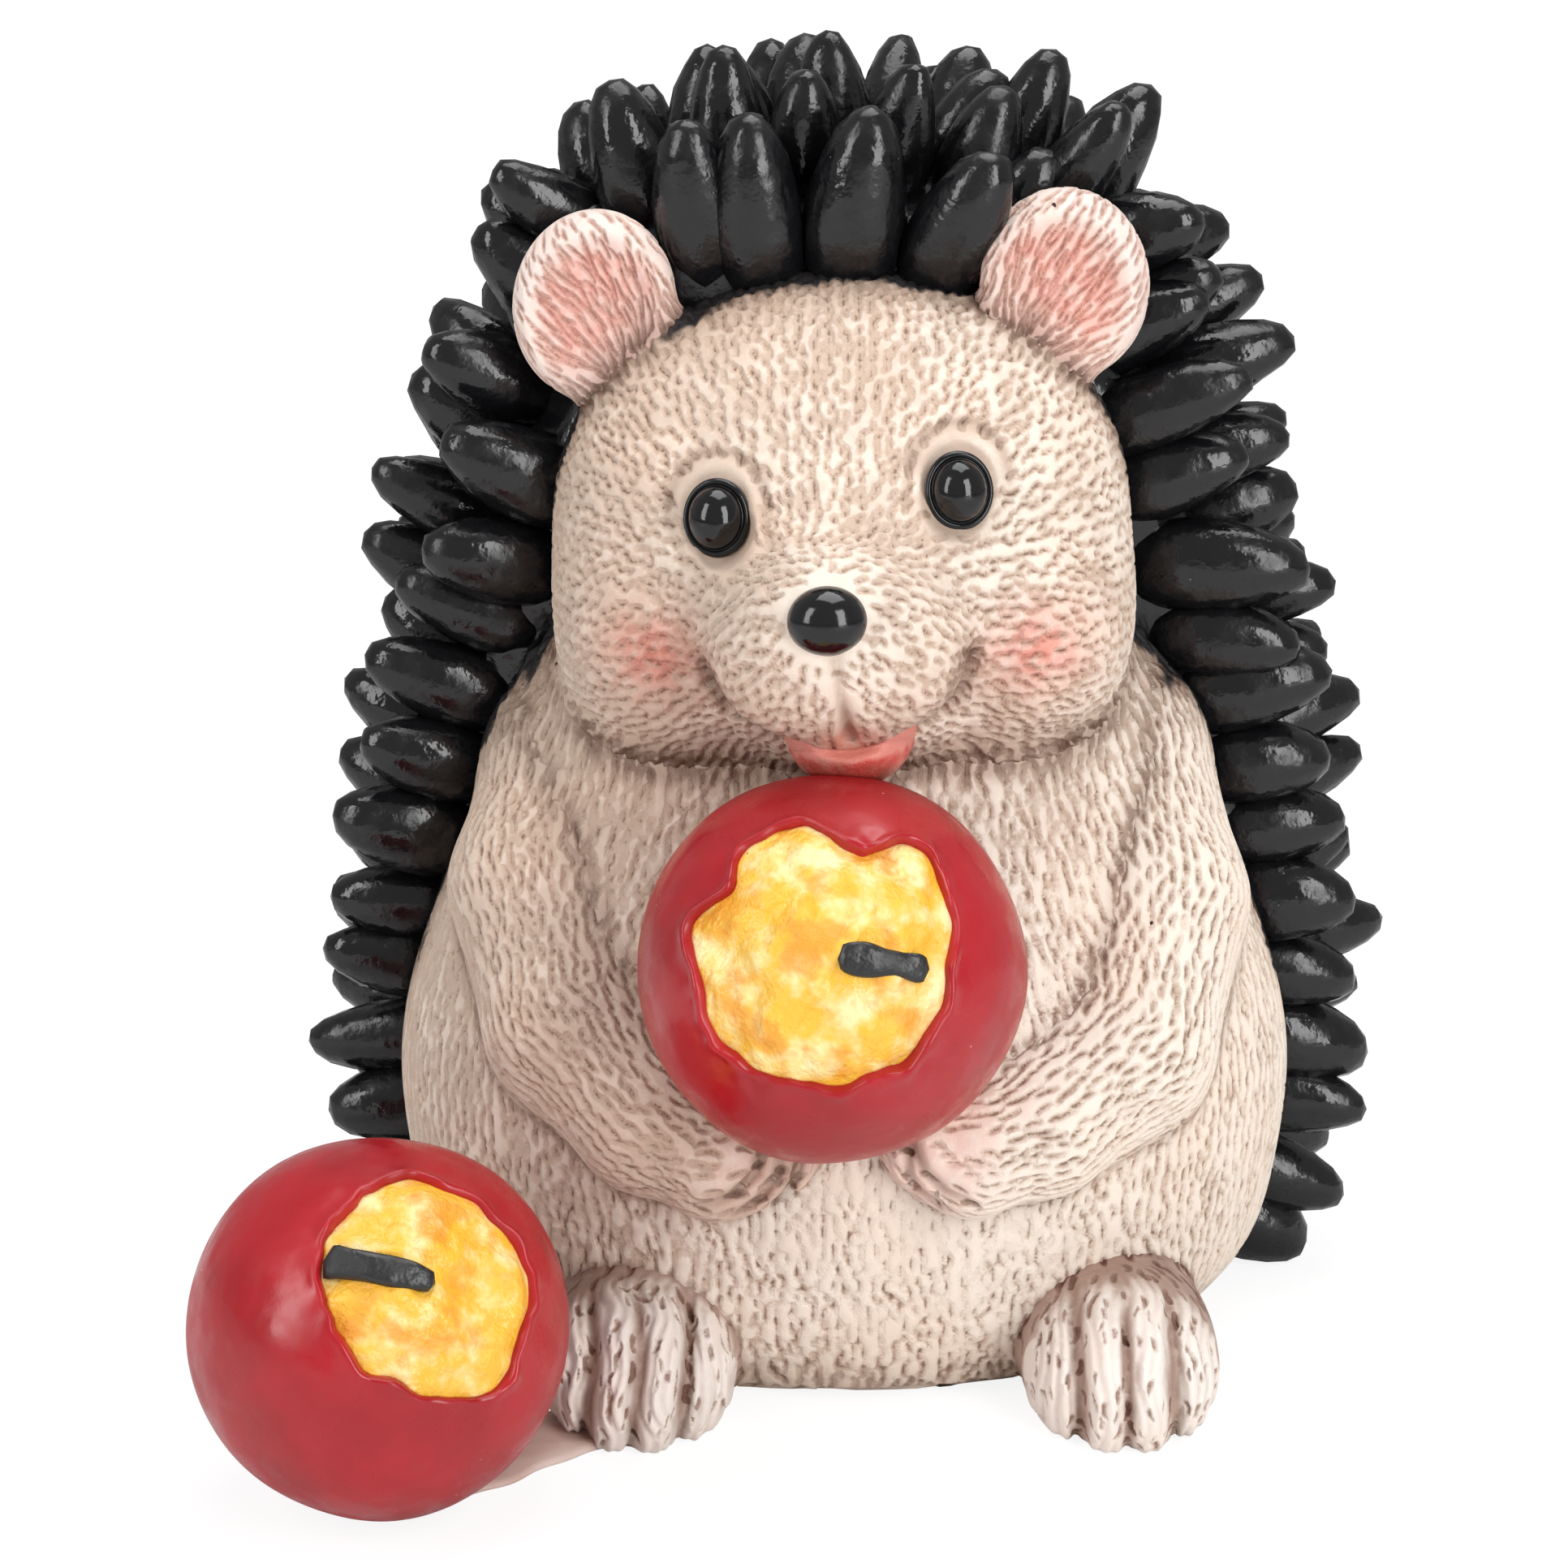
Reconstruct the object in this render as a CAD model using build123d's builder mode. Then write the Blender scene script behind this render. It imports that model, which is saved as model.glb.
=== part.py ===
"""A sitting hedgehog figurine that hugs one cut apple, with a second cut apple at its foot.

Millimetres, +Z up, the face looks along -Y. The origin is the centre of the torso's flat base.
Left and right are the animal's own: its left side is +X.
"""
import os
from math import cos, radians, sin, sqrt, tan

from build123d import *

# Torso: a pear lofted through level ellipses, on a flat base
torso_half_width = 56.5
torso_half_depth = 42.0
torso_height = 98.0
torso_level_shares = (0.0, 0.08, 0.2, 0.37, 0.55, 0.72, 0.88, 1.0)
torso_width_shares = (0.84, 0.94, 0.985, 1.0, 0.935, 0.8, 0.64, 0.48)
torso_depth_shares = (0.9, 0.95, 0.98, 1.0, 0.93, 0.81, 0.68, 0.54)
torso_forward_shares = (0.02, 0.06, 0.1, 0.14, 0.14, 0.12, 0.08, 0.02)

# Head: a loft along the line of sight, tipped and turned to its right, with two cheeks
head_half_width = 35.0
head_half_height = 29.5
head_reach = 51.0
head_centre_height = 106.0
head_centre_forward = 8.0
head_centre_side = -0.5
head_roll = 3.2
head_yaw = 3.0
head_forward_shares = (-0.58, -0.42, -0.18, 0.08, 0.3, 0.47, 0.59, 0.7, 0.82, 0.93, 1.0)
head_width_shares = (0.42, 0.7, 0.93, 1.0, 0.96, 0.82, 0.64, 0.49, 0.39, 0.28, 0.12)
head_height_shares = (0.45, 0.74, 0.95, 1.0, 0.96, 0.8, 0.6, 0.48, 0.41, 0.31, 0.14)
head_rise_shares = (0.0, 0.0, 0.0, 0.0, -0.05, -0.14, -0.23, -0.28, -0.28, -0.24, -0.19)
cheek_radius = 16.5
cheek_side = 18.0
cheek_drop = 14.0
cheek_forward = 12.5

# Face: round beads on shanks, and the open mouth under the muzzle
nose_radius = 4.2
nose_round = 3.8
nose_length = 8.0
nose_rise = -3.2
nose_forward = 45.6
eye_radius = 3.65
eye_round = 2.2
eye_length = 6.0
eye_side = 13.8
left_eye_rise = 6.7
right_eye_rise = 5.2
eye_forward = 26.2
mouth_half_width = 7.0
mouth_half_height = 3.4
mouth_length = 9.0
mouth_round = 1.2
mouth_drop = 21.2
mouth_forward = 33.0

# Ears: thick discs with a shallow cup
ear_radius = 10.4
ear_thickness = 7.6
ear_round = 3.4
ear_cup_radius = 8.0
ear_cup_depth = 3.0
ear_side = 27.6
ear_rise = 26.9
ear_forward = 4.5
ear_splay = 16.0
ear_pitch = 12.0

# Arms: round sections along a bent path, in shares of the torso's half width, half depth and height
arm_radius = 11.5
arm_radius_shares = (0.55, 0.95, 1.02, 0.95, 0.76, 0.62)
right_arm_path_shares = (
    (0.42, 0.0, 0.84), (0.6, -0.26, 0.74), (0.65, -0.52, 0.62), (0.58, -0.8, 0.48), (0.42, -1.02, 0.39),
    (0.27, -1.12, 0.36),
)
left_arm_path_shares = (
    (0.42, 0.0, 0.86), (0.6, -0.26, 0.76), (0.66, -0.52, 0.6), (0.59, -0.8, 0.45), (0.4, -1.02, 0.385),
    (0.24, -1.12, 0.365),
)
finger_length = 13.0
finger_root_share = 0.35
finger_radius = 2.8
finger_round = 2.5
finger_count = 3
finger_pitch = 4.2
finger_angle = 30.0

# Feet: an instep and a row of toes, flat underneath
foot_side = 29.2
foot_centre_side = 3.9
instep_half_width = 11.5
instep_height = 17.5
instep_back = 20.0
instep_front = 52.0
instep_width_shares = (0.8, 0.95, 1.0, 0.9, 0.62)
instep_rise_shares = (0.75, 0.95, 1.0, 0.86, 0.5)
toe_count = 4
toe_width = 7.0
toe_round = 3.3
toe_length = 22.0
toe_pitch = 5.6
toe_height_shares = (0.68, 0.84, 0.84, 0.68)
toe_front = 57.0

# Coat: a dome behind the face and the back, cut off along a leaning front plane
coat_half_width = 58.0
coat_height = 146.0
coat_depth_share = 0.68
coat_back_offset = 3.0
coat_level_shares = (0.0, 0.1, 0.25, 0.4, 0.52, 0.64, 0.75, 0.84, 0.915, 0.972, 1.0)
coat_width_shares = (0.88, 0.95, 1.0, 0.967, 0.91, 0.84, 0.765, 0.665, 0.5, 0.28, 0.1)
coat_skin = 4.0
coat_front_at_base = 3.0
coat_front_lean = 7.3
coat_plate = 6.0

# Quills: fat drops, the front ones in a fan and the others in arches behind it
quill_length = 15.2
quill_radius = 4.2
quill_root_share = 0.76
quill_belly_share = 0.5
quill_neck_share = 0.88
quill_tip_share = 0.62
quill_sink = 0.85
quill_floor_gap = 0.6
quill_pitch = 9.7
quill_rise_share = 0.22
arch_count = 8
arch_level_share = 0.4
arch_samples = 400
fan_length = 19.5
fan_inset = 7.0
fan_tilt = 12.0

# Apples: a cut patch of flesh with one seed, the same construction at two sizes
held_apple_radius = 22.4
held_apple_side = -2.3
held_apple_forward = 56.0
held_apple_height = 61.5
held_patch_radius = 16.2
held_patch_pitch = 24.0
held_patch_yaw = 3.0
held_seed_length = 9.7
held_seed_place_shares = (0.42, 0.0)
held_seed_turn = -7.0
ground_apple_radius = 21.9
ground_apple_side = -54.1
ground_apple_forward = 66.0
ground_apple_flat = 0.3
ground_patch_radius = 14.2
ground_patch_pitch = 36.0
ground_patch_yaw = 24.0
ground_seed_length = 12.4
ground_seed_place_shares = (-0.48, 0.2)
ground_seed_turn = -16.0
flesh_depth = 2.4
flesh_recess = 0.7
seed_width = 2.7
seed_depth = 1.6
seed_proud = 0.5
patch_outline_shares = (
    1.0, 0.94, 1.02, 0.9, 0.98, 1.04, 0.93, 1.0, 0.88, 0.97, 1.03, 0.92,
)

# Resin web on the floor between the ground apple and the right foot
web_thickness = 0.9
web_width = 13.0

# One overrun for every tool that cuts clean through
overrun = 5.0


def ball(centre, radius):
    """Return a sphere about a point."""
    with BuildPart() as round_solid:
        with Locations(centre):
            Sphere(radius)
    return round_solid.part


def rod(start, direction, length, radius, end_round):
    """Return a round rod from a start point, its far end rounded over."""
    with BuildPart() as solid:
        with BuildSketch(Plane(origin=start, z_dir=direction)):
            Circle(radius)
        extrude(amount=length)
        fillet(solid.edges().sort_by(Axis(start, direction))[-1], end_round)
    return solid.part


def joined(solids, cutters):
    """Return several solids made one, less every cutter."""
    with BuildPart() as piece:
        add(solids)
        for cutter in cutters:
            add(cutter, mode=Mode.SUBTRACT)
    return piece.part


def save(name, part):
    """Label a finished piece and write it to its own file."""
    part.label = name
    export_step(part, f"parts/{name}.step")


def rotated(vector, roll, yaw):
    """Turn a direction of the head: roll about the face axis, then yaw about the vertical."""
    rolled = Vector(*vector).rotate(Axis.Y, -roll)
    return rolled.rotate(Axis.Z, -yaw)


def head_point(side, forward, rise):
    """Return the place of a feature that is given in the head's own directions."""
    return head_centre + rotated((side, -forward, rise), head_roll, head_yaw)


def torso_point(shares):
    """Return the place that three shares of the torso's sizes name."""
    return Vector(shares[0] * torso_half_width, shares[1] * torso_half_depth, shares[2] * torso_height)


head_centre = Vector(head_centre_side, -head_centre_forward, head_centre_height)
head_up = rotated((0, 0, 1), head_roll, head_yaw)
head_front = rotated((0, -1, 0), head_roll, head_yaw)
head_across = rotated((1, 0, 0), head_roll, head_yaw)
held_apple_centre = Vector(held_apple_side, -held_apple_forward, held_apple_height)
ground_apple_height = ground_apple_radius - ground_apple_flat
ground_apple_centre = Vector(ground_apple_side, -ground_apple_forward, ground_apple_height)
floor_size = 4 * coat_height

with BuildPart() as below_floor:
    Box(floor_size, floor_size, floor_size, align=(Align.CENTER, Align.CENTER, Align.MAX))

os.makedirs("parts", exist_ok=True)


# Apples: a skin, an inlay of flesh in its patch, and a seed set in the flesh
def patch_plane(centre, pitch, yaw):
    """Return the plane through an apple's centre that faces the cut patch."""
    across = Vector(cos(radians(yaw)), sin(radians(yaw)), 0)
    outward = Vector(0, -1, 0).rotate(Axis.X, -pitch).rotate(Axis.Z, yaw)
    return Plane(origin=centre, x_dir=across, z_dir=outward)


def build_apple(name, whole, centre, radius, patch, patch_radius, seed_length, seed_place, seed_turn):
    """Build one apple from its whole outside, and write its three pieces."""
    step = 360 / len(patch_outline_shares)
    outline = [
        (patch_radius * share * cos(radians(i * step)), patch_radius * share * sin(radians(i * step)))
        for i, share in enumerate(patch_outline_shares)
    ]
    seed_frame = Plane(
        origin=patch.from_local_coords((seed_place[0] * patch_radius, seed_place[1] * patch_radius, 0)),
        x_dir=patch.x_dir.rotate(Axis(patch.origin, patch.z_dir), seed_turn),
        z_dir=patch.z_dir,
    )
    inlay_floor = ball(centre, radius - flesh_depth)
    flesh_top = ball(centre, radius - flesh_recess)
    seed_top = ball(centre, radius - flesh_recess + seed_proud)
    seed_floor = ball(centre, radius - flesh_recess + seed_proud - seed_depth)
    with BuildPart() as inlay:
        with BuildSketch(patch):
            with BuildLine():
                Spline(*outline, periodic=True)
            make_face()
        extrude(amount=radius + overrun)
        add(inlay_floor, mode=Mode.SUBTRACT)
    with BuildPart() as seed:
        with BuildSketch(seed_frame):
            SlotOverall(seed_length, seed_width)
        extrude(amount=radius + overrun)
        add(seed_top, mode=Mode.INTERSECT)
        add(seed_floor, mode=Mode.SUBTRACT)
    with BuildPart() as flesh:
        add(inlay.part)
        add(flesh_top, mode=Mode.INTERSECT)
        add(seed.part, mode=Mode.SUBTRACT)
    save(name, joined(whole, [inlay.part]))
    save(name + "_flesh", flesh.part)
    save(name + "_seed", seed.part)


held_apple_whole = ball(held_apple_centre, held_apple_radius)
ground_apple_whole = joined(ball(ground_apple_centre, ground_apple_radius), [below_floor.part])
build_apple(
    "held_apple", held_apple_whole, held_apple_centre, held_apple_radius,
    patch_plane(held_apple_centre, held_patch_pitch, held_patch_yaw),
    held_patch_radius, held_seed_length, held_seed_place_shares, held_seed_turn,
)
build_apple(
    "ground_apple", ground_apple_whole, ground_apple_centre, ground_apple_radius,
    patch_plane(ground_apple_centre, ground_patch_pitch, ground_patch_yaw),
    ground_patch_radius, ground_seed_length, ground_seed_place_shares, ground_seed_turn,
)

# Head
with BuildPart() as skull:
    for forward, width, height, rise in zip(
        head_forward_shares, head_width_shares, head_height_shares, head_rise_shares
    ):
        centre = head_point(0, forward * head_reach, rise * head_half_height)
        with BuildSketch(Plane(origin=centre, x_dir=-head_up, z_dir=head_front)):
            Ellipse(height * head_half_height, width * head_half_width)
    loft()
cheeks = [ball(head_point(side * cheek_side, cheek_forward, -cheek_drop), cheek_radius) for side in (-1, 1)]
head_mass = joined([skull.part, *cheeks], [])

# Nose, eyes and mouth
nose = rod(head_point(0, nose_forward, nose_rise), head_front, nose_length, nose_radius, nose_round)
left_eye_back = head_point(eye_side, eye_forward, left_eye_rise)
right_eye_back = head_point(-eye_side, eye_forward, right_eye_rise)
left_eye = rod(left_eye_back, head_front, eye_length, eye_radius, eye_round)
right_eye = rod(right_eye_back, head_front, eye_length, eye_radius, eye_round)
with BuildPart() as lips:
    mouth_back = head_point(0, mouth_forward, -mouth_drop)
    with BuildSketch(Plane(origin=mouth_back, x_dir=head_across, z_dir=head_front)):
        Ellipse(mouth_half_width, mouth_half_height)
    extrude(amount=mouth_length)
    fillet(lips.edges().sort_by(Axis(head_centre, head_front))[-1], mouth_round)
mouth = joined(lips.part, [held_apple_whole])
save("nose", nose)
save("left_eye", left_eye)
save("right_eye", right_eye)
save("mouth", mouth)
save("head", joined(head_mass, [nose, left_eye, right_eye, mouth, held_apple_whole]))


# Ears
def build_ear(name, side):
    """Build one ear and return its solid; side is +1 on the animal's left."""
    back = head_point(side * ear_side, ear_forward, ear_rise)
    facing = head_front.rotate(Axis.X, -ear_pitch).rotate(Axis.Z, side * ear_splay)
    cup_ball_radius = (ear_cup_radius**2 + ear_cup_depth**2) / (2 * ear_cup_depth)
    cup = ball(back + facing * (ear_thickness - ear_cup_depth + cup_ball_radius), cup_ball_radius)
    with BuildPart() as disc:
        with BuildSketch(Plane(origin=back, z_dir=facing)):
            Circle(ear_radius)
        extrude(amount=ear_thickness)
        fillet(disc.edges().sort_by(Axis(back, facing))[0], ear_round)
        add(cup, mode=Mode.SUBTRACT)
        add(head_mass, mode=Mode.SUBTRACT)
    save(name, disc.part)
    return disc.part


left_ear = build_ear("left_ear", 1)
right_ear = build_ear("right_ear", -1)

# Torso
with BuildPart() as torso_mass:
    for level, width, depth, forward in zip(
        torso_level_shares, torso_width_shares, torso_depth_shares, torso_forward_shares
    ):
        section_origin = Vector(0, -forward * torso_half_depth, level * torso_height)
        with BuildSketch(Plane(origin=section_origin, x_dir=Vector(0, 1, 0))):
            Ellipse(depth * torso_half_depth, width * torso_half_width)
    loft()
save("torso", joined(torso_mass.part, [head_mass, held_apple_whole, ground_apple_whole]))


# Arms
def build_arm(name, path_shares, mirrored):
    """Build one arm with its fingers on the animal's left, mirror it if asked, and return its solid."""
    path = [torso_point(shares) for shares in path_shares]
    with BuildPart() as tube:
        for i, (point, share) in enumerate(zip(path, arm_radius_shares)):
            along = path[min(i + 1, len(path) - 1)] - path[max(i - 1, 0)]
            with BuildSketch(Plane(origin=point, x_dir=Vector(0, 0, 1).cross(along), z_dir=along)):
                Circle(arm_radius * share)
        loft()
    reach = Vector(-cos(radians(finger_angle)), -sin(radians(finger_angle)), 0)
    fingers = []
    for i in range(finger_count):
        rise = (i - (finger_count - 1) / 2) * finger_pitch
        root = path[-1] - reach * finger_root_share * finger_length + Vector(0, 0, rise)
        fingers.append(rod(root, reach, finger_length, finger_radius, finger_round))
    blank = joined([tube.part, *fingers], [])
    if mirrored:
        blank = mirror(blank, about=Plane.YZ)
    arm = joined(blank, [torso_mass.part, head_mass, held_apple_whole])
    save(name, arm)
    return arm


right_arm = build_arm("right_arm", right_arm_path_shares, True)
left_arm = build_arm("left_arm", left_arm_path_shares, False)


# Feet
def build_foot(name, side):
    """Build one foot with its toes and return its solid."""
    centre = foot_centre_side + side * foot_side
    step = (instep_front - instep_back) / (len(instep_width_shares) - 1)
    with BuildPart() as instep:
        for i, (width, rise) in enumerate(zip(instep_width_shares, instep_rise_shares)):
            origin = Vector(centre, -instep_back - i * step, 0)
            with BuildSketch(Plane(origin=origin, x_dir=Vector(0, 0, -1), z_dir=Vector(0, -1, 0))):
                Ellipse(rise * instep_height, width * instep_half_width)
        loft()
    toes = []
    for i in range(toe_count):
        offset = (i - (toe_count - 1) / 2) * toe_pitch
        rise = toe_height_shares[i] * instep_height
        with BuildPart() as toe:
            root = Vector(centre + offset, toe_length - toe_front, 0)
            with BuildSketch(Plane(origin=root, x_dir=Vector(0, 0, 1), z_dir=Vector(0, -1, 0))):
                SlotOverall(2 * rise, toe_width)
            extrude(amount=toe_length)
            fillet(toe.edges().group_by(Axis.Y)[0], toe_round)
        toes.append(toe.part)
    foot = joined([instep.part, *toes], [below_floor.part, torso_mass.part, ground_apple_whole])
    save(name, foot)
    return foot


right_foot = build_foot("right_foot", -1)
left_foot = build_foot("left_foot", 1)


# Web of resin between the ground apple and the right foot
web_start = Vector(ground_apple_side, -ground_apple_forward, 0)
web_end = Vector(foot_centre_side - foot_side, -(instep_back + instep_front) / 2, 0)
with BuildPart() as web:
    with BuildSketch(Plane(origin=(web_start + web_end) / 2, x_dir=web_end - web_start)):
        Rectangle((web_end - web_start).length, web_width)
    extrude(amount=web_thickness)
save("base_web", joined(web.part, [ground_apple_whole, right_foot, torso_mass.part]))


# Coat
def build_dome(inset):
    """Return the coat's dome, drawn in by an inset all round."""
    depth = coat_half_width * coat_depth_share - inset
    with BuildPart() as dome:
        for level, share in zip(coat_level_shares, coat_width_shares):
            origin = Vector(0, coat_back_offset, level * (coat_height - inset))
            with BuildSketch(Plane(origin=origin)):
                Ellipse(share * (coat_half_width - inset), share * depth)
        loft()
    return dome.part


def slab(first, last):
    """Return the block between two stations behind the coat's leaning front plane."""
    front = Plane(
        origin=Vector(0, coat_front_at_base, 0),
        x_dir=Vector(1, 0, 0),
        z_dir=Vector(0, cos(radians(coat_front_lean)), sin(radians(coat_front_lean))),
    )
    with BuildPart() as block:
        with BuildSketch(front.offset(first)):
            Rectangle(floor_size, floor_size)
        extrude(amount=last - first)
    return block.part


def kept_within(solid, limit):
    """Return the part of a solid that lies inside a limit."""
    with BuildPart() as piece:
        add(solid)
        add(limit, mode=Mode.INTERSECT)
    return piece.part


def coat_profile():
    """Return samples of height, half width and taper, from the top down the side seam of the dome."""
    seam = next(e for e in coat_mass.edges() if e.bounding_box().size.Z > coat_height / 2)
    samples = []
    for i in range(arch_samples + 1):
        place = seam.position_at(i / arch_samples)
        slope = seam.tangent_at(i / arch_samples)
        if slope.Z:
            samples.append((place.Z, place.X, slope.X / slope.Z))
    return sorted(samples, reverse=True)


def arch(station):
    """Return places, normals and running lengths down the left half of one arch of the coat."""
    lean = radians(coat_front_lean)
    points = []
    for height, half_width, taper in coat_samples:
        back = coat_front_at_base - height * tan(lean) + station / cos(lean) - coat_back_offset
        turn = back / (coat_depth_share * half_width)
        if abs(turn) < 1:
            side = half_width * sqrt(1 - turn**2)
            normal = Vector(side, back / coat_depth_share**2, -taper * half_width).normalized()
            points.append((Vector(side, coat_back_offset + back, height), normal))
    lengths = [points[0][0].X]
    for first, second in zip(points, points[1:]):
        lengths.append(lengths[-1] + (second[0] - first[0]).length)
    return points, lengths


def along_arch(station, start):
    """Return evenly pitched places and normals on one arch, mirrored to both sides."""
    points, lengths = arch(station)
    places = []
    wanted = start
    for (place, normal), length in zip(points, lengths):
        if length >= wanted:
            wanted += quill_pitch
            if place.Z > quill_radius + quill_floor_gap:
                places.append((place, normal))
                mirrored = Vector(-place.X, place.Y, place.Z), Vector(-normal.X, normal.Y, normal.Z)
                places.append(mirrored)
    if start == 0:
        top, lean_normal = places[0]
        crown = Vector(0, top.Y, top.Z), Vector(0, lean_normal.Y, lean_normal.Z).normalized()
        places = [crown] + places[2:]
    return places


def quill(root, direction, length):
    """Return one quill, a drop turned about its own axis."""
    across = Plane(origin=root, z_dir=direction)
    with BuildPart() as drop:
        with BuildSketch(Plane(origin=root, x_dir=across.x_dir, z_dir=-across.y_dir)):
            with BuildLine():
                Line((0, length), (0, 0))
                Line((0, 0), (quill_radius * quill_root_share, 0))
                Spline(
                    (quill_radius * quill_root_share, 0),
                    (quill_radius, length * quill_belly_share),
                    (quill_radius * quill_tip_share, length * quill_neck_share),
                    (0, length),
                    tangents=((0, 1), (-1, 0)),
                )
            make_face()
        revolve(axis=Axis(root, direction))
    return drop.part


def arch_stations():
    """Return the stations that part the arches, equally far apart along the coat's side."""
    level = min(coat_samples, key=lambda sample: abs(sample[0] - arch_level_share * coat_height))
    height, half_width = level[0], level[1]
    lean = radians(coat_front_lean)
    front = coat_front_at_base - height * tan(lean)
    stations = [0.0]
    lengths = [0.0]
    for i in range(1, arch_samples + 1):
        start = front - coat_back_offset
        reach = coat_depth_share * half_width - start
        back = start + reach * i / arch_samples
        side = half_width * sqrt(max(0, 1 - (back / (coat_depth_share * half_width)) ** 2))
        last_back = start + reach * (i - 1) / arch_samples
        last_side = half_width * sqrt(1 - (last_back / (coat_depth_share * half_width)) ** 2)
        stations.append((back - start) * cos(lean))
        lengths.append(lengths[-1] + sqrt((back - last_back) ** 2 + (side - last_side) ** 2))
    plate_length = next(length for s, length in zip(stations, lengths) if s >= coat_plate)
    pitch = (lengths[-1] - plate_length) / arch_count
    limits = []
    for k in range(2 * arch_count):
        wanted = plate_length + k * pitch / 2
        limits.append(next(s for s, length in zip(stations, lengths) if length >= wanted))
    return limits + [coat_half_width * 2]


coat_mass = build_dome(0)
coat_samples = coat_profile()
limits = arch_stations()
animal = [torso_mass.part, head_mass, left_ear, right_ear, left_arm, right_arm]
backing = joined(kept_within(build_dome(coat_skin), slab(limits[0], limits[-1])), animal)
backing = backing.solids().sort_by(SortBy.VOLUME)[-1]
save("quill_backing", backing)

forward = Vector(0, -cos(radians(coat_front_lean)), -sin(radians(coat_front_lean)))
fan = []
for place, normal in along_arch(coat_plate / 2, 0):
    radial = (normal - forward * normal.dot(forward)).normalized()
    direction = radial * cos(radians(fan_tilt)) + forward * sin(radians(fan_tilt))
    fan.append(quill(place - radial * fan_inset, direction, fan_length))
front = kept_within(coat_mass, slab(0, limits[0]))
fan_arch = joined([front, *fan], animal + [below_floor.part])
save("quill_row_01", fan_arch.solids().sort_by(SortBy.VOLUME)[-1])

shell = joined(coat_mass, [backing] + animal)
bands = []
for row in range(arch_count):
    bands.append(kept_within(shell, slab(limits[2 * row], limits[2 * row + 2])))
    quills = []
    for place, normal in along_arch(limits[2 * row + 1], (row + 1) % 2 * quill_pitch / 2):
        direction = (normal + Vector(0, 0, quill_rise_share)).normalized()
        quills.append(quill(place - direction * quill_sink, direction, quill_length))
    inner = bands[max(0, row - 2):row]
    arch_piece = joined([bands[row], *quills], inner + [left_ear, right_ear, below_floor.part])
    save(f"quill_row_{row + 2:02d}", arch_piece)
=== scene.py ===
"""The looks of a hand-painted cast-resin hedgehog figurine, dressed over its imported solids.

The shapes are worked out in millimetres, +Z up, the face looking along -Y, and written in metres.
Left and right are the animal's own: its left side is +X.
"""
import logging
import math
from dataclasses import dataclass, field
from enum import Enum
from typing import Any, Callable, Optional, Sequence

import bpy
import numpy as np
from mathutils import Matrix, Vector


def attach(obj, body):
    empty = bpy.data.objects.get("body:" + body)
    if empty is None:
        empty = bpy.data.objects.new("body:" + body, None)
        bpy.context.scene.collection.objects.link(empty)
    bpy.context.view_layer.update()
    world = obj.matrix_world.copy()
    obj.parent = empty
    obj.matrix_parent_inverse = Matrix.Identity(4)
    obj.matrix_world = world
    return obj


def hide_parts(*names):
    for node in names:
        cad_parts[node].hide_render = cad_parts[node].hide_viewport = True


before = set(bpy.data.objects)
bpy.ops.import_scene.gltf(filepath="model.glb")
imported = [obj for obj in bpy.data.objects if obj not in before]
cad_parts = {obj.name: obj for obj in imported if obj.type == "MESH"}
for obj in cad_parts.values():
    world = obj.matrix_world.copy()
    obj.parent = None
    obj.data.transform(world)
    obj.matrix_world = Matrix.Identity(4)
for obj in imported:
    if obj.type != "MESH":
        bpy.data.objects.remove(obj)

Array = np.ndarray
Field = Callable[[Array], Array]
Color = tuple[float, float, float]

MILLIMETRE = 0.001
BODY = "root"

logging.basicConfig(level=logging.INFO, format="%(message)s")
report = logging.getLogger("hedgehog")


class Side(Enum):
    """The animal's own two sides, as the sign of X."""

    RIGHT = -1
    LEFT = 1

    @property
    def word(self) -> str:
        """Return the side's word in a node's name."""
        return self.name.lower()


class Mask(Enum):
    """The painted areas that a vertex carries as an attribute, from 0 to 1."""

    FUR = "fur"
    BLUSH = "blush"
    # dark brown in folds and hollows: brown wash, together with painted shade under the chin, near the floor,
    # at the ear roots, round the apples and below the quill coat
    CREASE = "crease"
    SOOT = "soot"
    # pale dry-brush load; on the torso, head and left arm it is also raised on the animal's left side, a
    # paler painted light for the brighter lamp there
    BRUSH = "brush"


# Distance fields


def soft_min(first: Array, second: Array, reach: float) -> Array:
    """Join two distance fields with a fillet.

    Args:
        first: distances to one form.
        second: distances to the other form.
        reach: how far from the join the fillet starts, in millimetres.

    Returns:
        Distances to both forms together.
    """
    share = np.clip(0.5 + 0.5 * (second - first) / reach, 0.0, 1.0)
    return second + (first - second) * share - reach * share * (1.0 - share)


def soft_max(first: Array, second: Array, reach: float) -> Array:
    """Return the overlap of two distance fields, its edge rounded over a reach."""
    return -soft_min(-first, -second, reach)


def ramp(values: Array, start: float, end: float) -> Array:
    """Return a smooth step from 0 at the start to 1 at the end."""
    share = np.clip((values - start) / (end - start), 0.0, 1.0)
    return share * share * (3.0 - 2.0 * share)


def hump(values: Array, width: float) -> Array:
    """Return 1 where the values are 0, falling off over a width."""
    return np.exp(-((values / width) ** 2))


def ripple(points: Array, size: float, seed: int) -> Array:
    """Make a smooth irregular field from a sum of waves.

    Args:
        points: places in millimetres, one row each.
        size: the typical size of one lump in millimetres.
        seed: fixes the pattern.

    Returns:
        One value for each place, mostly between -1 and 1.
    """
    rng = np.random.default_rng(seed)
    total = np.zeros(len(points))
    waves = 14
    for _ in range(waves):
        direction = rng.normal(size=3)
        direction *= rng.uniform(0.7, 1.5) * math.pi / (size * np.linalg.norm(direction))
        total += np.sin(points @ direction + rng.uniform(0, 2 * math.pi))
    return total * math.sqrt(2.0 / waves) * 0.6


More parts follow.
